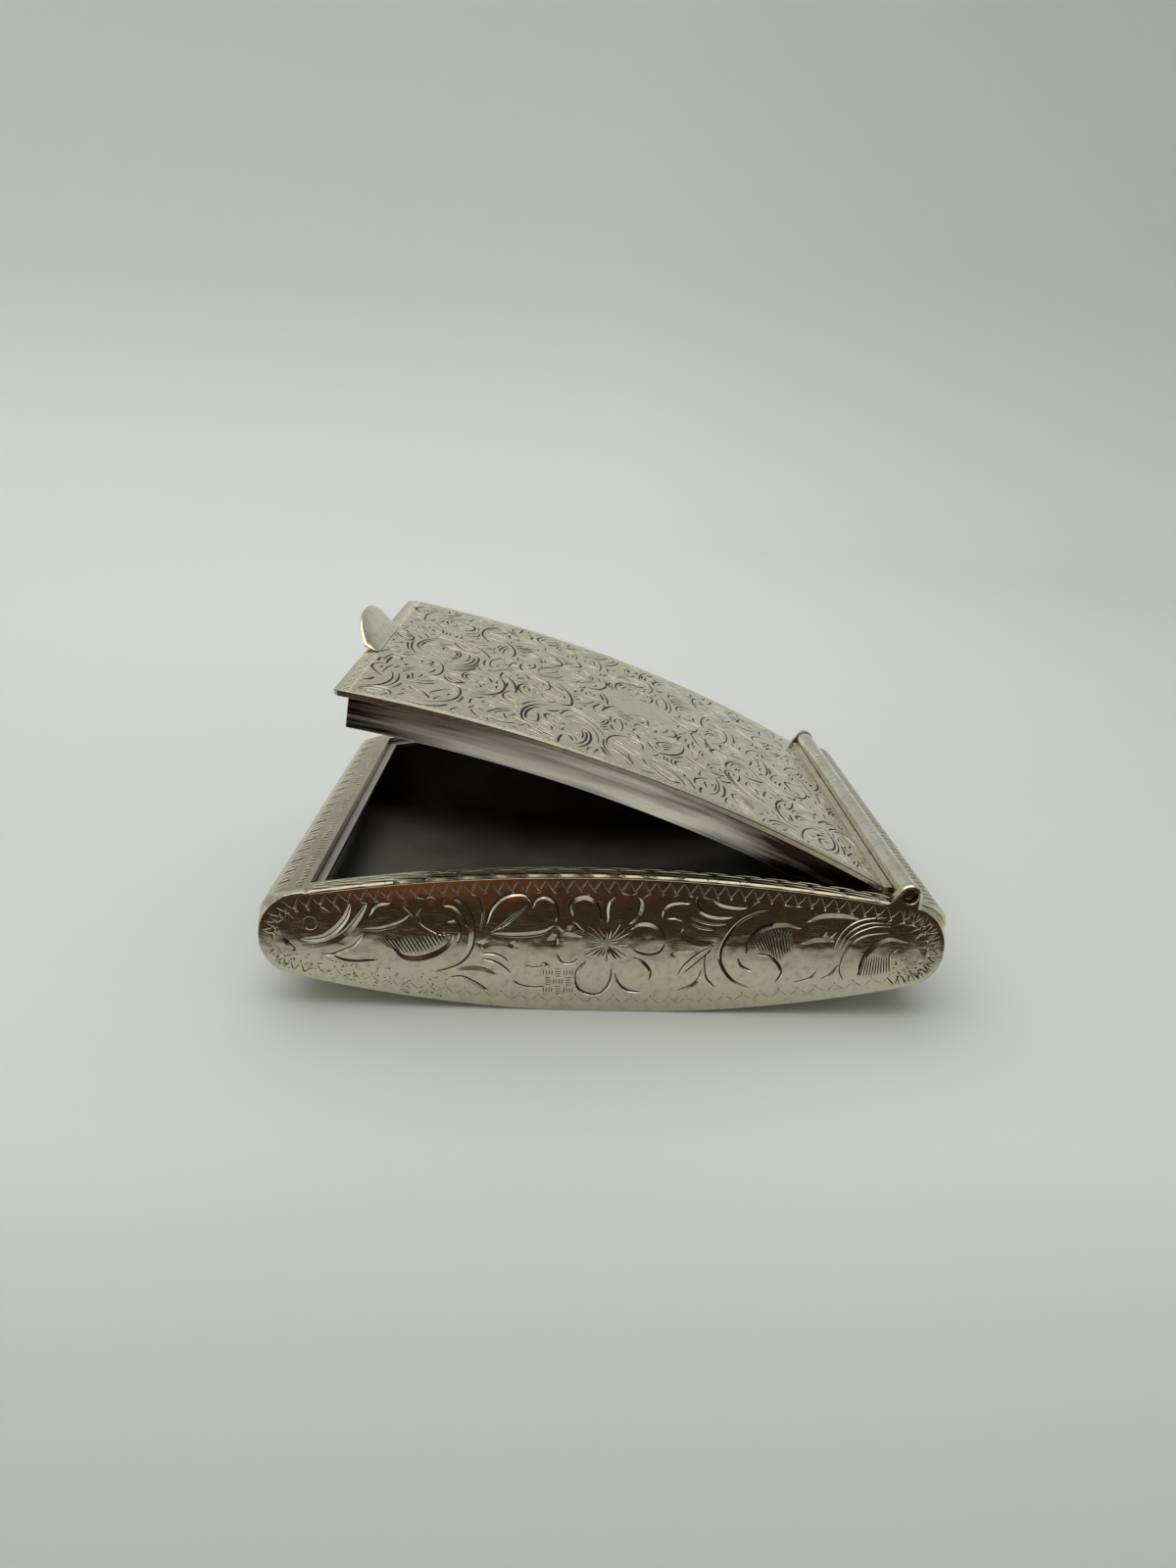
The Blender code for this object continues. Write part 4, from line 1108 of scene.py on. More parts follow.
def worn_silver(name, bare, roughness, dented, leaning=False, painted_crevice_shade=False):
    """Hand-worked sterling silver, polished, engraved and carried in a pocket for years.

    Bright and warm, with fine scratches that soften its reflections, a thin yellow-grey film in
    patches, small brown specks, and brown-black tarnish left in the cuts. dented is how far its
    hand-hammered face rises and falls, in millimetres. leaning is for the end panels, and the
    crevice flag paints shade: ambient occlusion darkens it where pieces meet.
    """
    material, tree = new_material(name)
    place = in_millimetres(tree)
    patches = add(tree, "TexNoise", {"Vector": place, "Scale": 1 / FILM_PATCH, "Detail": 4.0})
    film = add(tree, "MapRange", {0: patches, 1: 0.42, 2: 0.72, 4: 0.6})
    mottled = add(tree, "TexNoise", {"Vector": place, "Scale": 1 / SPECK, "Detail": 5.0})
    specks = add(tree, "MapRange", {0: mottled, 1: 0.50, 2: 0.75, 4: 0.66})
    marks = []
    for (length, apart), turn in ((POLISHING_MARKS, (0.1, 0.2, 0.35)), (SCRATCHES, (0.0, 0.3, -1.0))):
        scale = (1 / length, 1 / apart, 1 / apart)
        drawn = add(tree, "Mapping", {"Vector": place, "Rotation": turn, "Scale": scale})
        marks.append(add(tree, "TexNoise", {"Vector": drawn, "Scale": 1.0, "Detail": 5.0}))
    scratches = add(tree, "Math", {0: marks[0], 1: marks[1]}, operation="MULTIPLY")
    cut = add(tree, "Attribute", attribute_name="cut").outputs["Fac"]
    dirt = add(tree, "MapRange", {0: cut, 1: 0.12, 2: 0.48})
    # Painted shade: where ambient occlusion finds pieces close together, the tone is darkened towards the
    # cuts' brown-black.
    if painted_crevice_shade:
        open_air = add(tree, "AmbientOcclusion", {"Distance": 0.9 * MM}, samples=8).outputs["AO"]
        painted_shade_share = add(tree, "MapRange", {0: open_air, 1: 0.55, 2: 0.10, 3: 0.0, 4: 0.9})
        dirt = add(tree, "Math", {0: dirt, 1: painted_shade_share}, operation="MAXIMUM")
    tone = bare
    # The brown-black is tarnish in the cuts and, when the crevice flag is on, also painted shade where
    # pieces meet.
    for share, over in ((film, "#C9C3A4"), (specks, "#9C9173"), (dirt, "#2E2620")):
        tone = add(tree, "Mix", {"Factor": share, "A": tone, "B": over}, data_type="RGBA")
    smooth, rubbed = roughness - 0.06, roughness + 0.10
    rough = add(tree, "MapRange", {0: scratches, 1: 0.12, 2: 0.42, 3: smooth, 4: rubbed})
    rough = add(tree, "Math", {0: dirt, 1: 0.3, 2: rough}, operation="MULTIPLY_ADD")
    relief = add(tree, "Bump", {"Strength": 0.15, "Distance": 0.008 * MM, "Height": scratches})
    hammered = add(tree, "TexNoise", {"Vector": place, "Scale": 1 / HAMMER_DENT, "Detail": 1.5})
    dents = {"Strength": 1.0, "Distance": dented * MM, "Height": hammered, "Normal": relief}
    relief = add(tree, "Bump", dents)
    if leaning:
        relief = leaning_relief(tree, place, relief)
    metal(tree, tone, rough, relief)
    return material


def leaning_relief(tree, place, relief):
    """Tilts what an end panel mirrors, by 5 degrees at its foot and by 17 at its top.

    The solid is upright, and how far the real panels lean isn't known. The tilt makes its upper
    half mirror the dark room and its lower half the pale table, as in the photograph.
    """
    height = add(tree, "SeparateXYZ", {0: place}).outputs["Z"]
    bow = add(tree, "Math", {0: height, 1: height}, operation="MULTIPLY")
    bow = add(tree, "Math", {0: bow, 1: -PANEL_BOW / 2}, operation="MULTIPLY")
    lean = add(tree, "Math", {0: height, 1: -PANEL_LEAN, 2: bow}, operation="MULTIPLY_ADD")
    return add(tree, "Bump", {"Strength": 1.0, "Distance": MM, "Height": lean, "Normal": relief})


def dull_silver(name, pale, dark):
    """The inside of the case: silver never polished since it was raised, grey and evenly dull.

    Fine scouring marks run along it. The ledge along the opening is given a paler tone than the
    floor.
    """
    material, tree = new_material(name)
    place = in_millimetres(tree)
    cloud = add(tree, "TexNoise", {"Vector": place, "Scale": 1 / CLOUD_INSIDE, "Detail": 5.0})
    tone = add(tree, "Mix", {"Factor": cloud, "A": pale, "B": dark}, data_type="RGBA")
    length, apart = SCOURING_MARKS
    drawn = add(tree, "Mapping", {"Vector": place, "Scale": (1 / length, 1 / apart, 1 / apart)})
    grain = add(tree, "TexNoise", {"Vector": drawn, "Scale": 1.0, "Detail": 4.0})
    rough = add(tree, "MapRange", {0: grain, 3: 0.30, 4: 0.48})
    relief = add(tree, "Bump", {"Strength": 0.3, "Distance": 0.02 * MM, "Height": grain})
    metal(tree, tone, rough, relief)
    return material


STREAK_SLICE = -6.86
PALE_MIDDLE_X = -4.0


def tarnished_silver():
    """Flange strips: smooth silver under a brown and purple-grey film that came with age.

    The film lies in streaks along the strips. The strips are brown-black towards both ends of the
    lid and pale in the middle. The streaks keep a distance from the top arc's centre with the lid
    shut, so that they follow the strips' curve. STREAK_SLICE picks streaks that lie as in the
    photograph.
    """
    material, tree = new_material("tarnished_silver_strip")
    place = in_millimetres(tree)
    hinge = {"Vector": place, "Center": (HINGE_X, 0.0, HINGE_Z), "Angle": -LID_OPEN}
    shut = add(tree, "VectorRotate", hinge, rotation_type="Y_AXIS")
    shut = add(tree, "SeparateXYZ", {0: shut}).outputs
    below = add(tree, "Math", {0: shut["Z"], 1: TOP_CENTRE_Z}, operation="SUBTRACT")
    spoke = add(tree, "CombineXYZ", {0: shut["X"], 2: below})
    reach = add(tree, "VectorMath", {0: spoke}, operation="LENGTH")
    drawn = 1 / STREAK_LENGTH
    along = add(tree, "Math", {0: shut["X"], 1: drawn}, operation="MULTIPLY")
    depth = add(tree, "Math", {0: shut["Y"], 1: drawn, 2: STREAK_SLICE}, operation="MULTIPLY_ADD")
    streaky = add(tree, "CombineXYZ", {0: along, 1: depth, 2: reach})
    streaks = add(tree, "TexNoise", {"Vector": streaky, "Scale": 1.0, "Detail": 2.0})
    x = add(tree, "SeparateXYZ", {0: place}).outputs["X"]
    from_middle = add(tree, "Math", {0: x, 1: PALE_MIDDLE_X}, operation="SUBTRACT")
    from_middle = add(tree, "Math", {0: from_middle}, operation="ABSOLUTE")
    # Darker towards both ends of the lid, paler towards its middle.
    rubbed = add(tree, "MapRange", {0: from_middle, 1: 27.0, 2: 9.0, 3: -0.08, 4: 0.86})
    bright = add(tree, "MapRange", {0: streaks, 1: 0.3, 2: 0.7, 3: -0.45, 4: 0.35})
    share = add(tree, "Math", {0: rubbed, 1: bright}, operation="ADD", use_clamp=True)
    tone = add(tree, "Mix", {"Factor": share, "A": "#35261D", "B": "#FFF6E8"}, data_type="RGBA")
    rough = add(tree, "MapRange", {0: streaks, 3: 0.16, 4: 0.34})
    metal(tree, tone, rough)
    return material


def drawn_brass():
    """The pin: drawn brass wire, brown-black with age, and yellow low on its ends."""
    material, tree = new_material("drawn_brass")
    place = in_millimetres(tree)
    height = add(tree, "SeparateXYZ", {0: place}).outputs["Z"]
    # Yellow on the lowest part of each end, brown-black above it.
    rubbed = add(tree, "MapRange", {0: height, 1: HINGE_Z - 0.35, 2: HINGE_Z - 0.6})
    tone = add(tree, "Mix", {"Factor": rubbed, "A": "#3A2C16", "B": "#C9A24C"}, data_type="RGBA")
    cloud = add(tree, "TexNoise", {"Vector": place, "Scale": 1 / AGEING_ON_BRASS, "Detail": 4.0})
    rough = add(tree, "MapRange", {0: cloud, 3: 0.30, 4: 0.55})
    metal(tree, tone, rough)
    return material


# Pieces.


BODY_OF = {
    node: body for body, nodes in frame["record"]["behaviour"]["bodies"].items() for node in nodes
}


def swing(mesh, angle):
    """Turns a mesh about the hinge. By LID_OPEN, the shut lid comes to where the CAD has it."""
    hinge = Matrix.Translation((HINGE_X * MM, 0.0, HINGE_Z * MM))
    mesh.transform(hinge @ Matrix.Rotation(angle, 4, "Y") @ hinge.inverted())


def stand_for(node, mesh):
    """Puts a mesh in the scene in place of a CAD node, on the same body."""
    piece = bpy.data.objects.new(node + "_worn", mesh)
    bpy.context.scene.collection.objects.link(piece)
    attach(piece, BODY_OF[node])
    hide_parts(node)
    return piece


WELD = 0.001
FLAT_WITHIN = math.radians(0.5)
SMOOTH_UP_TO = math.radians(30)
WORN_OVER = math.radians(40)


def worn_copy(node, material, wear=0.0):
    """A CAD node's own shape with its edges rounded by wear."""
    source = frame["nodes"][node]
    shape = bmesh.new()
    shape.from_mesh(source.data)
    shape.transform(source.matrix_world)
    bmesh.ops.remove_doubles(shape, verts=shape.verts, dist=WELD * MM)
    bmesh.ops.dissolve_limit(shape, angle_limit=FLAT_WITHIN, verts=shape.verts, edges=shape.edges)
    mesh = bpy.data.meshes.new(node + "_worn")
    points = [vert.co.copy() for vert in shape.verts]
    shape.verts.index_update()
    faces = [[vert.index for vert in face.verts] for face in shape.faces]
    shape.free()
    mesh.from_pydata(points, [], faces)
    mesh.materials.append(material)
    mesh.shade_smooth()
    mesh.set_sharp_from_angle(angle=SMOOTH_UP_TO)
    piece = stand_for(node, mesh)
    if wear:
        edge = piece.modifiers.new("wear", "BEVEL")
        edge.width = wear * MM
        edge.segments = 2
        edge.limit_method = "ANGLE"
        edge.angle_limit = WORN_OVER
        edge.harden_normals = True
    return piece


def across(line, start_v):
    """Bends a flat sheet to a section, with v running along +Y from start_v."""

    def bend(u, v, depth):
        x, z = line.bend(u, depth)
        return np.stack([x, v + start_v, z], axis=1)

    return bend


# The patch left bare amid the lid's scrolls: its middle in X and Y, and how far it reaches.
BARE_MIDDLE = (3.0, 2.6)
BARE_HALF = (4.9, 4.6)
LID_CHAMFER = 0.5
# The lid's back corner at its free end, rounded off: how far each point lies from that end and
# from the back.
LID_ROUNDED_CORNER = ((2.4, 0.0), (1.2, 0.3), (0.3, 1.2), (0.0, 2.4))


def add_lid_plate(engraved, rim, inside):
    length, width = LID_LINE.length, 2 * LID_Y
    corners = [(0.0, LID_CHAMFER), (LID_CHAMFER, 0.0), (length, 0.0), (length, width)]
    corners += [(u, width - v) for u, v in LID_ROUNDED_CORNER]
    outline, inward = plate_outline(corners, (1, 1, 0, 1, 1, 1, 1, 1))
    middle = BARE_MIDDLE[0] - LID_X, BARE_MIDDLE[1] + LID_Y
    bare = [(middle[0] + way * BARE_HALF[0], middle[1] + way * BARE_HALF[1]) for way in (-1, 1)]
    mesh = engraved_sheet(
        "lid_plate",
        (engraved, rim, inside),
        edge_rings(outline, inward, LID_EDGE),
        across(LID_LINE, -LID_Y),
        lid_cuts(length, width, bare, random.Random(11)),
        stain=0.36,
    )
    swing(mesh, LID_OPEN)
    stand_for("lid_plate", mesh)


SHEET_WIDTH = 2 * PANEL_INNER_Y


def add_cross_sheet(node, line, materials, cuts, free_end=1, rise=0.0, **fineness):
    """A sheet from one end panel to the other, soldered all round unless one end is free.

    rise is how far its middle is hammered up into a round bead.
    """
    corners = [(0.0, 0.0), (line.length, 0.0), (line.length, SHEET_WIDTH), (0.0, SHEET_WIDTH)]
    outline, inward = plate_outline(corners, (0, 0, 0, free_end))
    flat = across(line, -PANEL_INNER_Y)

    def bend(u, v, depth):
        bead = rise * np.sin(np.pi * np.clip(u / line.length, 0, 1)) * (depth < SHEET / 2)
        return flat(u, v, depth - bead)

    rings = edge_rings(outline, inward, WORN_EDGE)
    stand_for(node, engraved_sheet(node, materials, rings, bend, cuts, back_step=1.0, **fineness))


def add_thumb_end_rim(engraved, inside):
    cuts = thumb_rim_cuts(SHEET_WIDTH, random.Random(12))
    add_cross_sheet(
        "thumb_end_rim", THUMB_RIM_LINE, (engraved, engraved, inside), cuts, step=0.5, stain=0.40
    )


HINGE_RIM_RISE = 0.5


def add_hinge_end_rim(engraved, inside):
    """The strip outside the barrel, hammered up into a round bead."""
    add_cross_sheet(
        "hinge_end_rim",
        HINGE_RIM_LINE,
        (engraved, engraved, inside),
        hinge_rim_cuts(HINGE_RIM_LINE.length, SHEET_WIDTH, random.Random(13)),
        rise=HINGE_RIM_RISE,
        step=0.5,
        stain=0.16,
    )


def add_bottom_wrap(engraved, inside):
    cuts = scroll_cuts(WRAP_LINE.length, SHEET_WIDTH, 1.2, 0.56, random.Random(15))
    add_cross_sheet(
        "bottom_wrap", WRAP_LINE, (engraved, engraved, inside), cuts, free_end=0, step=0.8
    )


EAR_CLEAR_X = EAR_FOOT_X - LID_CLEARANCE
EAR_BASE_Z = 15.9
# The side rims' leaves: from the opening's end to the first tip, and from each tip to the next.
FIRST_LEAF = 3.4
LEAF_PITCH = 4.2
# Their rolled outer edge: how far it falls, how wide it is just past a leaf's tip, and how much
# it narrows for each millimetre from there.
RIM_ROLL = 0.24
ROLL_WIDTH = 0.48
ROLL_TAPER = 0.07
MITRE_GAP = 0.1


def side_rim_rings(start):
    """Rings of a strip that is mitred along its front and has a plain edge behind."""
    ear, end = SIDE_RIM_LINE.distance_at(EAR_CLEAR_X), SIDE_RIM_LINE.length
    past_panel = PANEL_SHEET + SOLDER_SEAM
    corners = [(start, 0.0), (ear, 0.0), (ear, past_panel), (end, past_panel)]
    corners += [(end, SIDE_RIM_WIDTH), (start, SIDE_RIM_WIDTH)]
    outline, inward = plate_outline(corners, (1, 0, 0, 0, 1, 0))
    front = outline[:, 1] < ROUNDING
    plain_rings = edge_rings(outline, inward, WORN_EDGE)
    front_rings = edge_rings(outline, inward, SIDE_RIM_EDGE)
    rings = []
    for (plain, plain_depth), (mitred, mitred_depth) in zip(plain_rings, front_rings):
        flat = np.where(front[:, None], mitred, plain)
        behind_mitre = np.maximum(flat[:, 1], mitred[front, 1].max() + MITRE_GAP)
        flat[:, 1] = np.where(front, flat[:, 1], behind_mitre)
        rings.append((flat, np.where(front, mitred_depth, plain_depth)))
    return rings


def add_side_rims(engraved, inside):
    """The engraved strips beside the opening, mitred over the top edge of each end panel.

    Their outer edge is rolled over, widest just past the tip of each leaf.
    """
    start = SIDE_RIM_LINE.distance_at(OPENING_X)
    rings = side_rim_rings(start)
    rng = random.Random(14)
    places = between(start + FIRST_LEAF, SIDE_RIM_LINE.length + 1.0, LEAF_PITCH)
    tips = [place + rng.uniform(-0.2, 0.2) for place in places]
    cuts = leaf_cuts(tips, rng)
    for node, side in (("front_rim", -1.0), ("back_rim", 1.0)):

        def bend(u, v, depth):
            past = u[:, None] - np.array([start - 0.8, *tips])
            past = np.where(past < 0, np.inf, past).min(axis=1)
            roll = ROLL_WIDTH - ROLL_TAPER * np.clip(past, 0, LEAF_PITCH)
            fall = RIM_ROLL * np.clip(1 - v / roll, 0, 1) ** 2
            x, z = SIDE_RIM_LINE.bend(u, depth + fall * (depth < SHEET / 2))
            return np.stack([x, side * (HALF_DEPTH - v), z], axis=1)

        materials = (engraved, engraved, inside)
        mesh = engraved_sheet(node, materials, rings, bend, cuts, step=0.36, stain=0.6)
        stand_for(node, mesh)


# Round an end panel: points over the ear, from the ear to the end wall, and round the pin's hole.
# A worn ear loses more of its edge than the rest, in width and in depth.
EAR_STEPS = 14
LAND_STEPS = 18
HOLE_STEPS = 28
EAR_WEAR_IN = 2.6
EAR_WEAR_DOWN = 2.5


def panel_outline(radius, wear, lowered):
    """Outline of an end panel, ear included, anticlockwise as seen from the front.

    lowered is how far its top edge lies down beside the opening, to carry a side rim.
    """
    top_end = math.acos(EAR_FOOT_X / TOP_RADIUS)
    turns = {shoulder_turn(PANEL_SHOULDER_RADIUS), shoulder_turn(SHOULDER_RADIUS)}
    arc_start = math.pi - min(turns)
    left = between(math.pi, arc_start, CORNER_STEP) + [math.pi - max(turns)]
    top = between(math.pi - max(turns), top_end, OUTLINE_STEP / TOP_RADIUS)[1:]
    points = []
    for angle in left + top:
        x, z = at_turn(angle, radius, wear)
        points.append((x, z - lowered if OPENING_X + 0.1 < x < EAR_CLEAR_X else z))
    centre = Vector((HINGE_X, HINGE_Z))
    reach = EAR_RADIUS - EAR_WEAR_IN * wear
    off = Vector(points[-1]) - centre
    meets = math.atan2(off.y, off.x) % math.tau - math.acos(reach / off.length)
    for step in range(EAR_STEPS + 1):
        angle = meets * (1 - step / EAR_STEPS)
        points.append((HINGE_X + reach * math.cos(angle), HINGE_Z + reach * math.sin(angle)))
    land_x = HINGE_X + reach
    if land_x < TOP_RADIUS * math.cos(shoulder_turn(radius)):
        land = math.acos(land_x / (TOP_RADIUS - wear))
    else:
        land = math.acos((land_x - shoulder_centre(radius)[0]) / (radius - wear))
    for step in range(LAND_STEPS + 1):
        points.append(at_turn(land * (1 - step / LAND_STEPS), radius, wear))
    heel = between(0.0, HEEL_TURN, CORNER_STEP)
    under = between(HEEL_TURN, FOOT_TURN, OUTLINE_STEP / BOTTOM_RADIUS)[1:]
    half = [at_turn(angle - TINY, radius, wear) for angle in heel + under]
    foot = [(x, half[-1][1]) for x in between(half[-1][0], -half[-1][0], OUTLINE_STEP)[1:-1]]
    points += half[1:] + foot + [(-x, z) for x, z in reversed(half)][:-1]
    return np.array(points)[::-1]


def hole_ring(radius, depth):
    turns = [math.tau * step / HOLE_STEPS for step in range(HOLE_STEPS)]
    ring = [(HINGE_X + radius * math.cos(a), HINGE_Z + radius * math.sin(a)) for a in turns]
    return np.array(ring), np.full(HOLE_STEPS, depth)


def add_panels(leaning, engraved, inside):
    """The flat engraved ends, with a bright bevel at each shoulder and an ear for the pin."""
    levels = (
        (panel_outline(PANEL_SHOULDER_RADIUS, PANEL_WEAR, RIM_ROLL), 0.0),
        (panel_outline(PANEL_SHOULDER_RADIUS, 0.05, RIM_ROLL + 0.04), 0.05),
        (panel_outline(PANEL_SHOULDER_RADIUS, 0.0, RIM_ROLL + 0.06), 0.15),
        (panel_outline(SHOULDER_RADIUS, 0.0, 1.05), PANEL_SHEET),
    )
    rings = []
    for outline, depth in levels:
        worn_ear = (outline[:, 0] > EAR_FOOT_X) & (outline[:, 1] > EAR_BASE_Z) & (depth < 0.2)
        rings.append((outline, np.where(worn_ear, depth * EAR_WEAR_DOWN, depth)))
    holes = [
        hole_ring(EAR_HOLE_RADIUS + 0.05, 0.0),
        hole_ring(EAR_HOLE_RADIUS, 0.06),
        hole_ring(EAR_HOLE_RADIUS, PANEL_SHEET),
    ]
    materials = (leaning, engraved, inside)
    for node, side in (("front_panel", -1.0), ("back_panel", 1.0)):

        def bend(u, v, depth):
            return np.stack([u, side * (HALF_DEPTH - depth), v], axis=1)

        mesh = engraved_sheet(
            node, materials, rings, bend, panel_cuts(), holes, step=1.3, stain=0.09
        )
        for face in mesh.polygons:
            if face.material_index == BACK and face.center.z > EAR_BASE_Z * MM:
                face.material_index = EDGE
        stand_for(node, mesh)


FILED_GAP = 0.02
FILLET_START_X = LID_END_X + 0.1
FILLET_RUN = 0.8
FILLET_RISE = 0.5


def filed_flush(mesh):
    """Files a bearer down to the plate beside it, with a small fillet up to the barrel."""
    for vert in mesh.vertices:
        x = vert.co.x / MM
        share = min(max((x - FILLET_START_X) / FILLET_RUN, 0.0), 1.0) if x < HINGE_X else 0.0
        plate_z = TOP_CENTRE_Z + math.sqrt(TOP_RADIUS**2 - x**2)
        vert.co.z = min(vert.co.z, (plate_z - FILED_GAP + FILLET_RISE * share) * MM)


PIN_SHARE = 0.985


def add_plain_pieces(plain, rubbed, engraved, ledge, tarnished, brass):
    for node in ("front_ledge", "back_ledge", "thumb_end_ledge"):
        worn_copy(node, ledge, wear=0.06)
    filed_flush(worn_copy("base_hinge_bearer", engraved).data)
    bearer = worn_copy("lid_hinge_bearer", engraved).data
    swing(bearer, -LID_OPEN)
    filed_flush(bearer)
    swing(bearer, LID_OPEN)
    for node in BODY_OF:
        if "knuckle" in node:
            worn_copy(node, plain, wear=0.12)
        if "flange" in node:
            worn_copy(node, tarnished, wear=0.10)
    pin = worn_copy("hinge_pin", brass).data
    pin.transform(Matrix.Scale(PIN_SHARE, 4, (0.0, 1.0, 0.0)))
    swelling = worn_copy("thumb_piece", rubbed).modifiers.new("hand_shaped", "SUBSURF")
    swelling.levels = 2
    swelling.render_levels = 2


# Table, light and camera, in metres.


SHEET_END_Y = -0.140


def backdrop_paper():
    """Matt pale paper. The metal sees it end just in front of the case, as in the photograph.

    Its tone is painted with light and shade: a painted shadow on the paper in front of the case,
    painted shade falling off to the right and the top, and a little painted light far behind the
    case, in the place of the photograph's uneven room light.
    """
    material, tree = new_material("matt_paper")
    ray = add(tree, "LightPath").outputs["Is Glossy Ray"]
    place = add(tree, "NewGeometry").outputs["Position"]
    away = add(tree, "VectorMath", {0: place}, operation="LENGTH")
    near = add(tree, "MapRange", {0: away, 1: 0.45, 2: 0.16})
    place = add(tree, "SeparateXYZ", {0: place}).outputs
    past = add(tree, "Math", {0: place["Y"], 1: SHEET_END_Y}, operation="LESS_THAN")
    unseen = add(tree, "Math", {0: ray, 1: past}, operation="MULTIPLY")
    # Painted shadow: the paper from 60 mm in front of the case darkens by up to a quarter, fading out far
    # from the case.
    front = add(tree, "MapRange", {0: place["Y"], 1: -0.060, 2: -0.108, 4: -0.26})
    tone = add(tree, "Math", {0: front, 1: near, 2: 1.0}, operation="MULTIPLY_ADD")
    # Painted shade: the tone falls off towards the right and the top, and is paler far behind the case.
    for axis, start, end, first, last in (
        ("X", 0.02, 0.36, 1.0, 0.82),
        ("Y", 0.05, 0.40, 0.821, 0.925),
        ("Z", 0.03, 0.28, 1.0, 0.76),
    ):
        painted_falloff = add(tree, "MapRange", {0: place[axis], 1: start, 2: end, 3: first, 4: last})
        tone = add(tree, "Math", {0: tone, 1: painted_falloff}, operation="MULTIPLY")
    tone = add(tree, "Mix", {"Factor": tone, "A": "#000000", "B": "#F0F2EE"}, data_type="RGBA")
    paper = add(tree, "BsdfDiffuse", {"Color": tone})
    seen = add(tree, "MixShader", {0: unseen, 1: paper, 2: add(tree, "BsdfTransparent")})
    add(tree, "OutputMaterial", {"Surface": seen})
    return material


LEVEL_RADII = (0.05, 0.12, 0.20, 0.28, 0.36, 0.42)
SWEEP_RADIUS = 0.15
WALL_TOP_Z = 0.60
SWEEP_STEPS = 12
SPOKES = 96
BELOW_CASE = 0.00003


def add_backdrop():
    """A round sweep of paper: level under the case, then curving up all round it."""
    level = LEVEL_RADII[-1]
    profile = [(radius, 0.0) for radius in LEVEL_RADII]
    for step in range(1, SWEEP_STEPS + 1):
        turn = math.pi / 2 * step / SWEEP_STEPS
        profile.append(
            (level + SWEEP_RADIUS * math.sin(turn), SWEEP_RADIUS * (1 - math.cos(turn)))
        )
    profile.append((level + SWEEP_RADIUS, WALL_TOP_Z))
    points = [(0.0, 0.0, 0.0)]
    faces = [(0, 1 + spoke, 1 + (spoke + 1) % SPOKES) for spoke in range(SPOKES)]
    for ring, (radius, z) in enumerate(profile):
        far = 1 + ring * SPOKES
        near = far - SPOKES
        for spoke in range(SPOKES):
            turn = math.tau * spoke / SPOKES
            points.append((radius * math.cos(turn), radius * math.sin(turn), z))
            after = (spoke + 1) % SPOKES
            if ring:
                faces.append((near + spoke, far + spoke, far + after, near + after))
    mesh = bpy.data.meshes.new("backdrop")
    mesh.from_pydata(points, [], faces)
    mesh.materials.append(backdrop_paper())
    mesh.shade_smooth()
    backdrop = bpy.data.objects.new("backdrop", mesh)
    backdrop.location.z = -BELOW_CASE
    bpy.context.scene.collection.objects.link(backdrop)


def mirrored_room(tree):
    """What the metal mirrors: a pale room above and behind, and dark in front.

    A band of warm brown low in the dark stands for the wooden furniture that the photographed
    panel mirrors along its top, and a white patch on the left for the window at its shoulder.
    """
    way = add(tree, "SeparateXYZ", {0: add(tree, "TexCoord").outputs["Generated"]}).outputs
    low = add(tree, "MapRange", {0: way["Z"], 1: 0.50, 2: 0.72, 3: 1.0, 4: 0.0})
    ahead = add(tree, "MapRange", {0: way["Y"], 1: 0.05, 2: -0.25, 3: 0.0, 4: 1.0})
    dark = add(tree, "Math", {0: low, 1: ahead}, operation="MULTIPLY")
    rise = add(tree, "MapRange", {0: way["Z"], 1: 0.07, 2: 0.12})
    fall = add(tree, "MapRange", {0: way["Z"], 1: 0.24, 2: 0.16})
    side = add(tree, "MapRange", {0: way["X"], 1: 0.10, 2: -0.10})
    wood = add(tree, "Math", {0: rise, 1: fall}, operation="MULTIPLY")
    wood = add(tree, "Math", {0: wood, 1: side}, operation="MULTIPLY")
    front = add(tree, "Mix", {"Factor": wood, "A": "#40342A", "B": "#7A4C34"}, data_type="RGBA")
    room = add(tree, "Mix", {"Factor": dark, "A": "#D8D8D0", "B": front}, data_type="RGBA")
    window = add(tree, "MapRange", {0: way["X"], 1: -0.60, 2: -0.80})
    return add(tree, "Mix", {"Factor": window, "A": room, "B": "#F4F6F6"}, data_type="RGBA")


LAMP_PLACE = (-0.08, 0.07, 0.54)
LAMP_ACROSS = 0.90
LAMP_WATTS = 2.05


def add_light():
    """An even pale room that lights the case, and one soft light overhead."""
    world = bpy.data.worlds.new("room")
    bpy.context.scene.world = world
    world.use_nodes = True
    tree = world.node_tree
    tree.nodes.clear()
    mirrored = mirrored_room(tree)
    glossy = add(tree, "LightPath").outputs["Is Glossy Ray"]
    room = add(tree, "Mix", {"Factor": glossy, "A": "#C4C6C4", "B": mirrored}, data_type="RGBA")
    air = add(tree, "Background", {"Color": room, "Strength": 1.0})
    add(tree, "OutputWorld", {"Surface": air})
    light = bpy.data.lights.new("overhead_softbox", "AREA")
    light.shape = "DISK"
    light.size = LAMP_ACROSS
    light.energy = LAMP_WATTS
    lamp = bpy.data.objects.new("overhead_softbox", light)
    lamp.location = LAMP_PLACE
    lamp.rotation_euler = Vector(LAMP_PLACE).to_track_quat("Z", "Y").to_euler()
    bpy.context.scene.collection.objects.link(lamp)


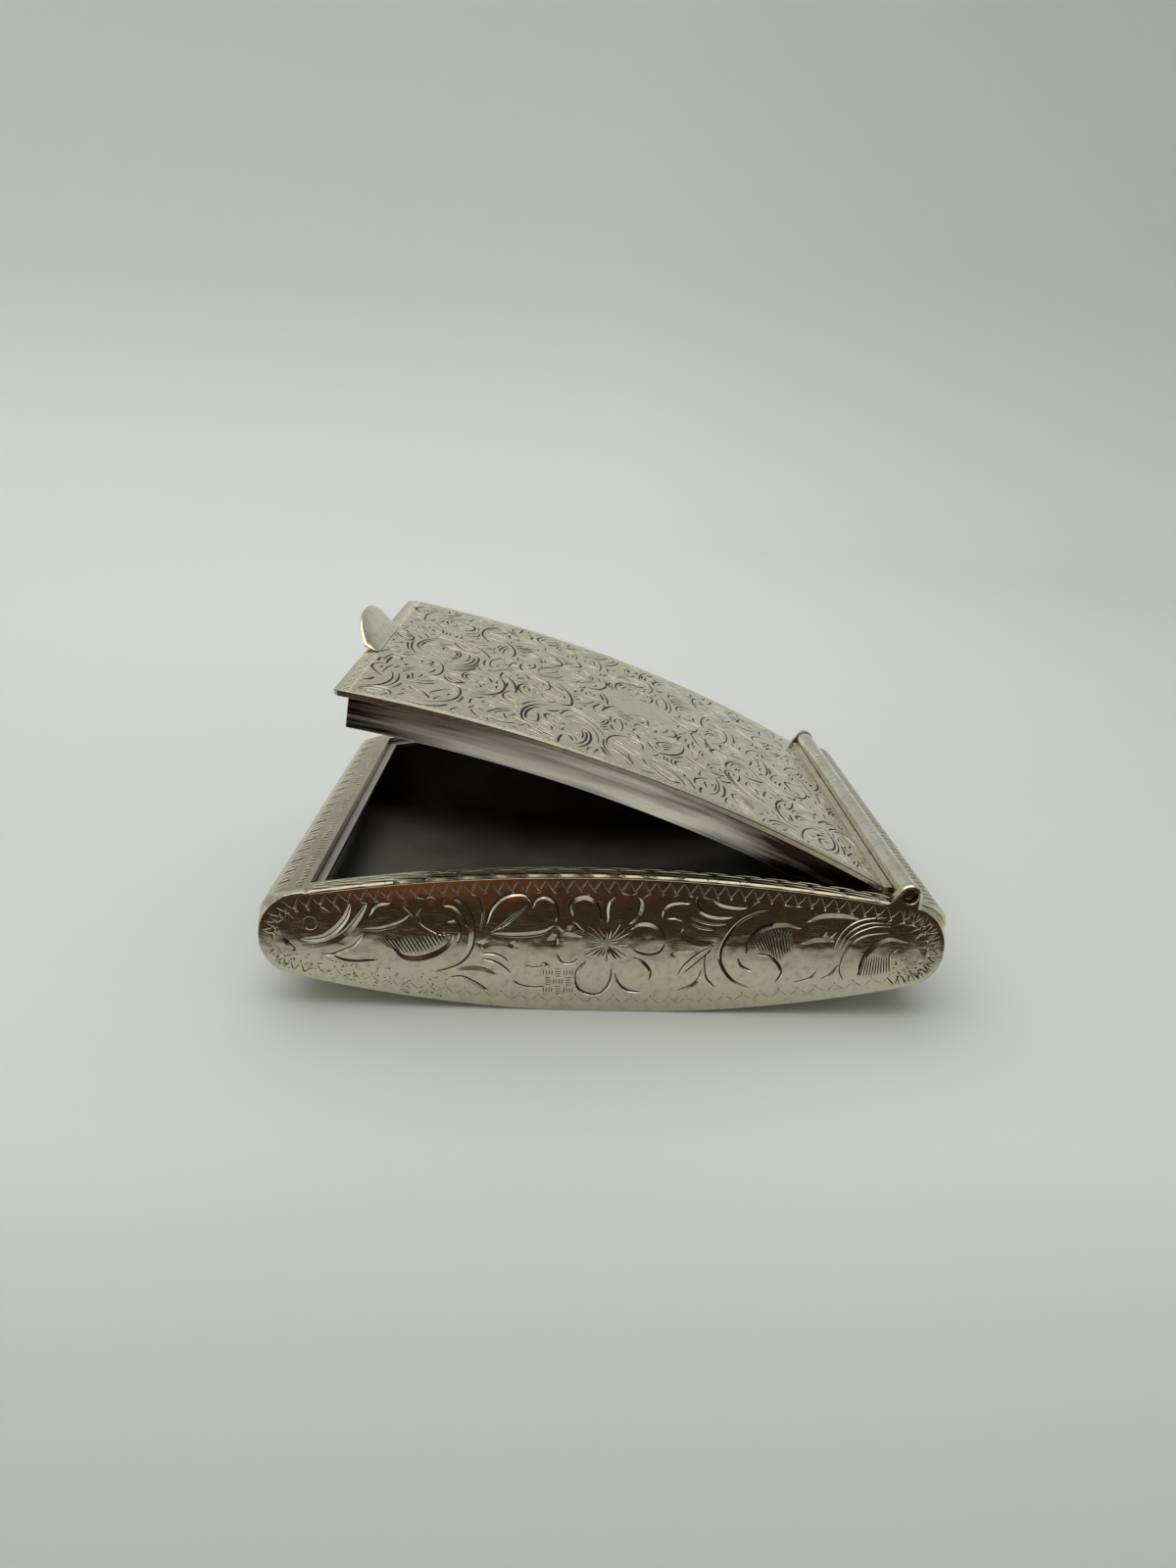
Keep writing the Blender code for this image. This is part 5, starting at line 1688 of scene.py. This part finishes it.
# The camera, in millimetres, radians and pixels of the photograph.
CAMERA_PLACE = (-5.078, -153.257, 73.191)
CAMERA_PITCH = 0.34088
CAMERA_ROLL = 0.02947
CAMERA_YAW = 0.0108
FOCAL_PIXELS = 1094.4
LONG_SIDE_PIXELS = 1600
SENSOR_WIDTH = 36.0


def add_camera():
    """The photograph's own camera, from the fit of the case's outline."""
    turn = (
        Matrix.Rotation(CAMERA_PITCH, 3, "X")
        @ Matrix.Rotation(CAMERA_ROLL, 3, "Y")
        @ Matrix.Rotation(CAMERA_YAW, 3, "Z")
    )
    facing = Matrix((turn[0], turn[2], -turn[1])).transposed().to_4x4()
    lens = bpy.data.cameras.new("camera")
    lens.sensor_width = SENSOR_WIDTH
    lens.lens = FOCAL_PIXELS / LONG_SIDE_PIXELS * SENSOR_WIDTH
    lens.clip_start = 0.005
    lens.clip_end = 10.0
    camera = bpy.data.objects.new("camera", lens)
    camera.matrix_world = Matrix.Translation(Vector(CAMERA_PLACE) * MM) @ facing
    bpy.context.scene.collection.objects.link(camera)
    bpy.context.scene.camera = camera


def build():
    bpy.context.scene.view_settings.view_transform = "Standard"
    add_camera()
    add_backdrop()
    add_light()
    engraved = worn_silver("worn_engraved_silver", "#DCD6C2", 0.20, 0.012)
    leaning = worn_silver("worn_engraved_panel_silver", "#C6BFAC", 0.11, 0.09, leaning=True)
    # A darker copy of the engraved silver for the rims and the lid's edge: painted shade, for the dark under
    # the open lid that these surfaces mirror.
    rim = worn_silver("worn_rim_silver_painted_shade", "#AEA691", 0.17, 0.012)
    plain = worn_silver("worn_plain_silver", "#E8E6DA", 0.17, 0.012, painted_crevice_shade=True)
    rubbed = worn_silver("rubbed_bright_silver", "#E0DBC8", 0.09, 0.03, painted_crevice_shade=True)
    inside = dull_silver("dull_unpolished_silver", "#8A8980", "#5F5A50")
    ledge = dull_silver("dull_pale_silver", "#BAB9B5", "#8C8680")
    add_panels(leaning, engraved, inside)
    add_side_rims(rim, inside)
    add_thumb_end_rim(rim, inside)
    add_hinge_end_rim(engraved, inside)
    add_lid_plate(engraved, rim, inside)
    add_bottom_wrap(engraved, inside)
    add_plain_pieces(plain, rubbed, engraved, ledge, tarnished_silver(), drawn_brass())


build()
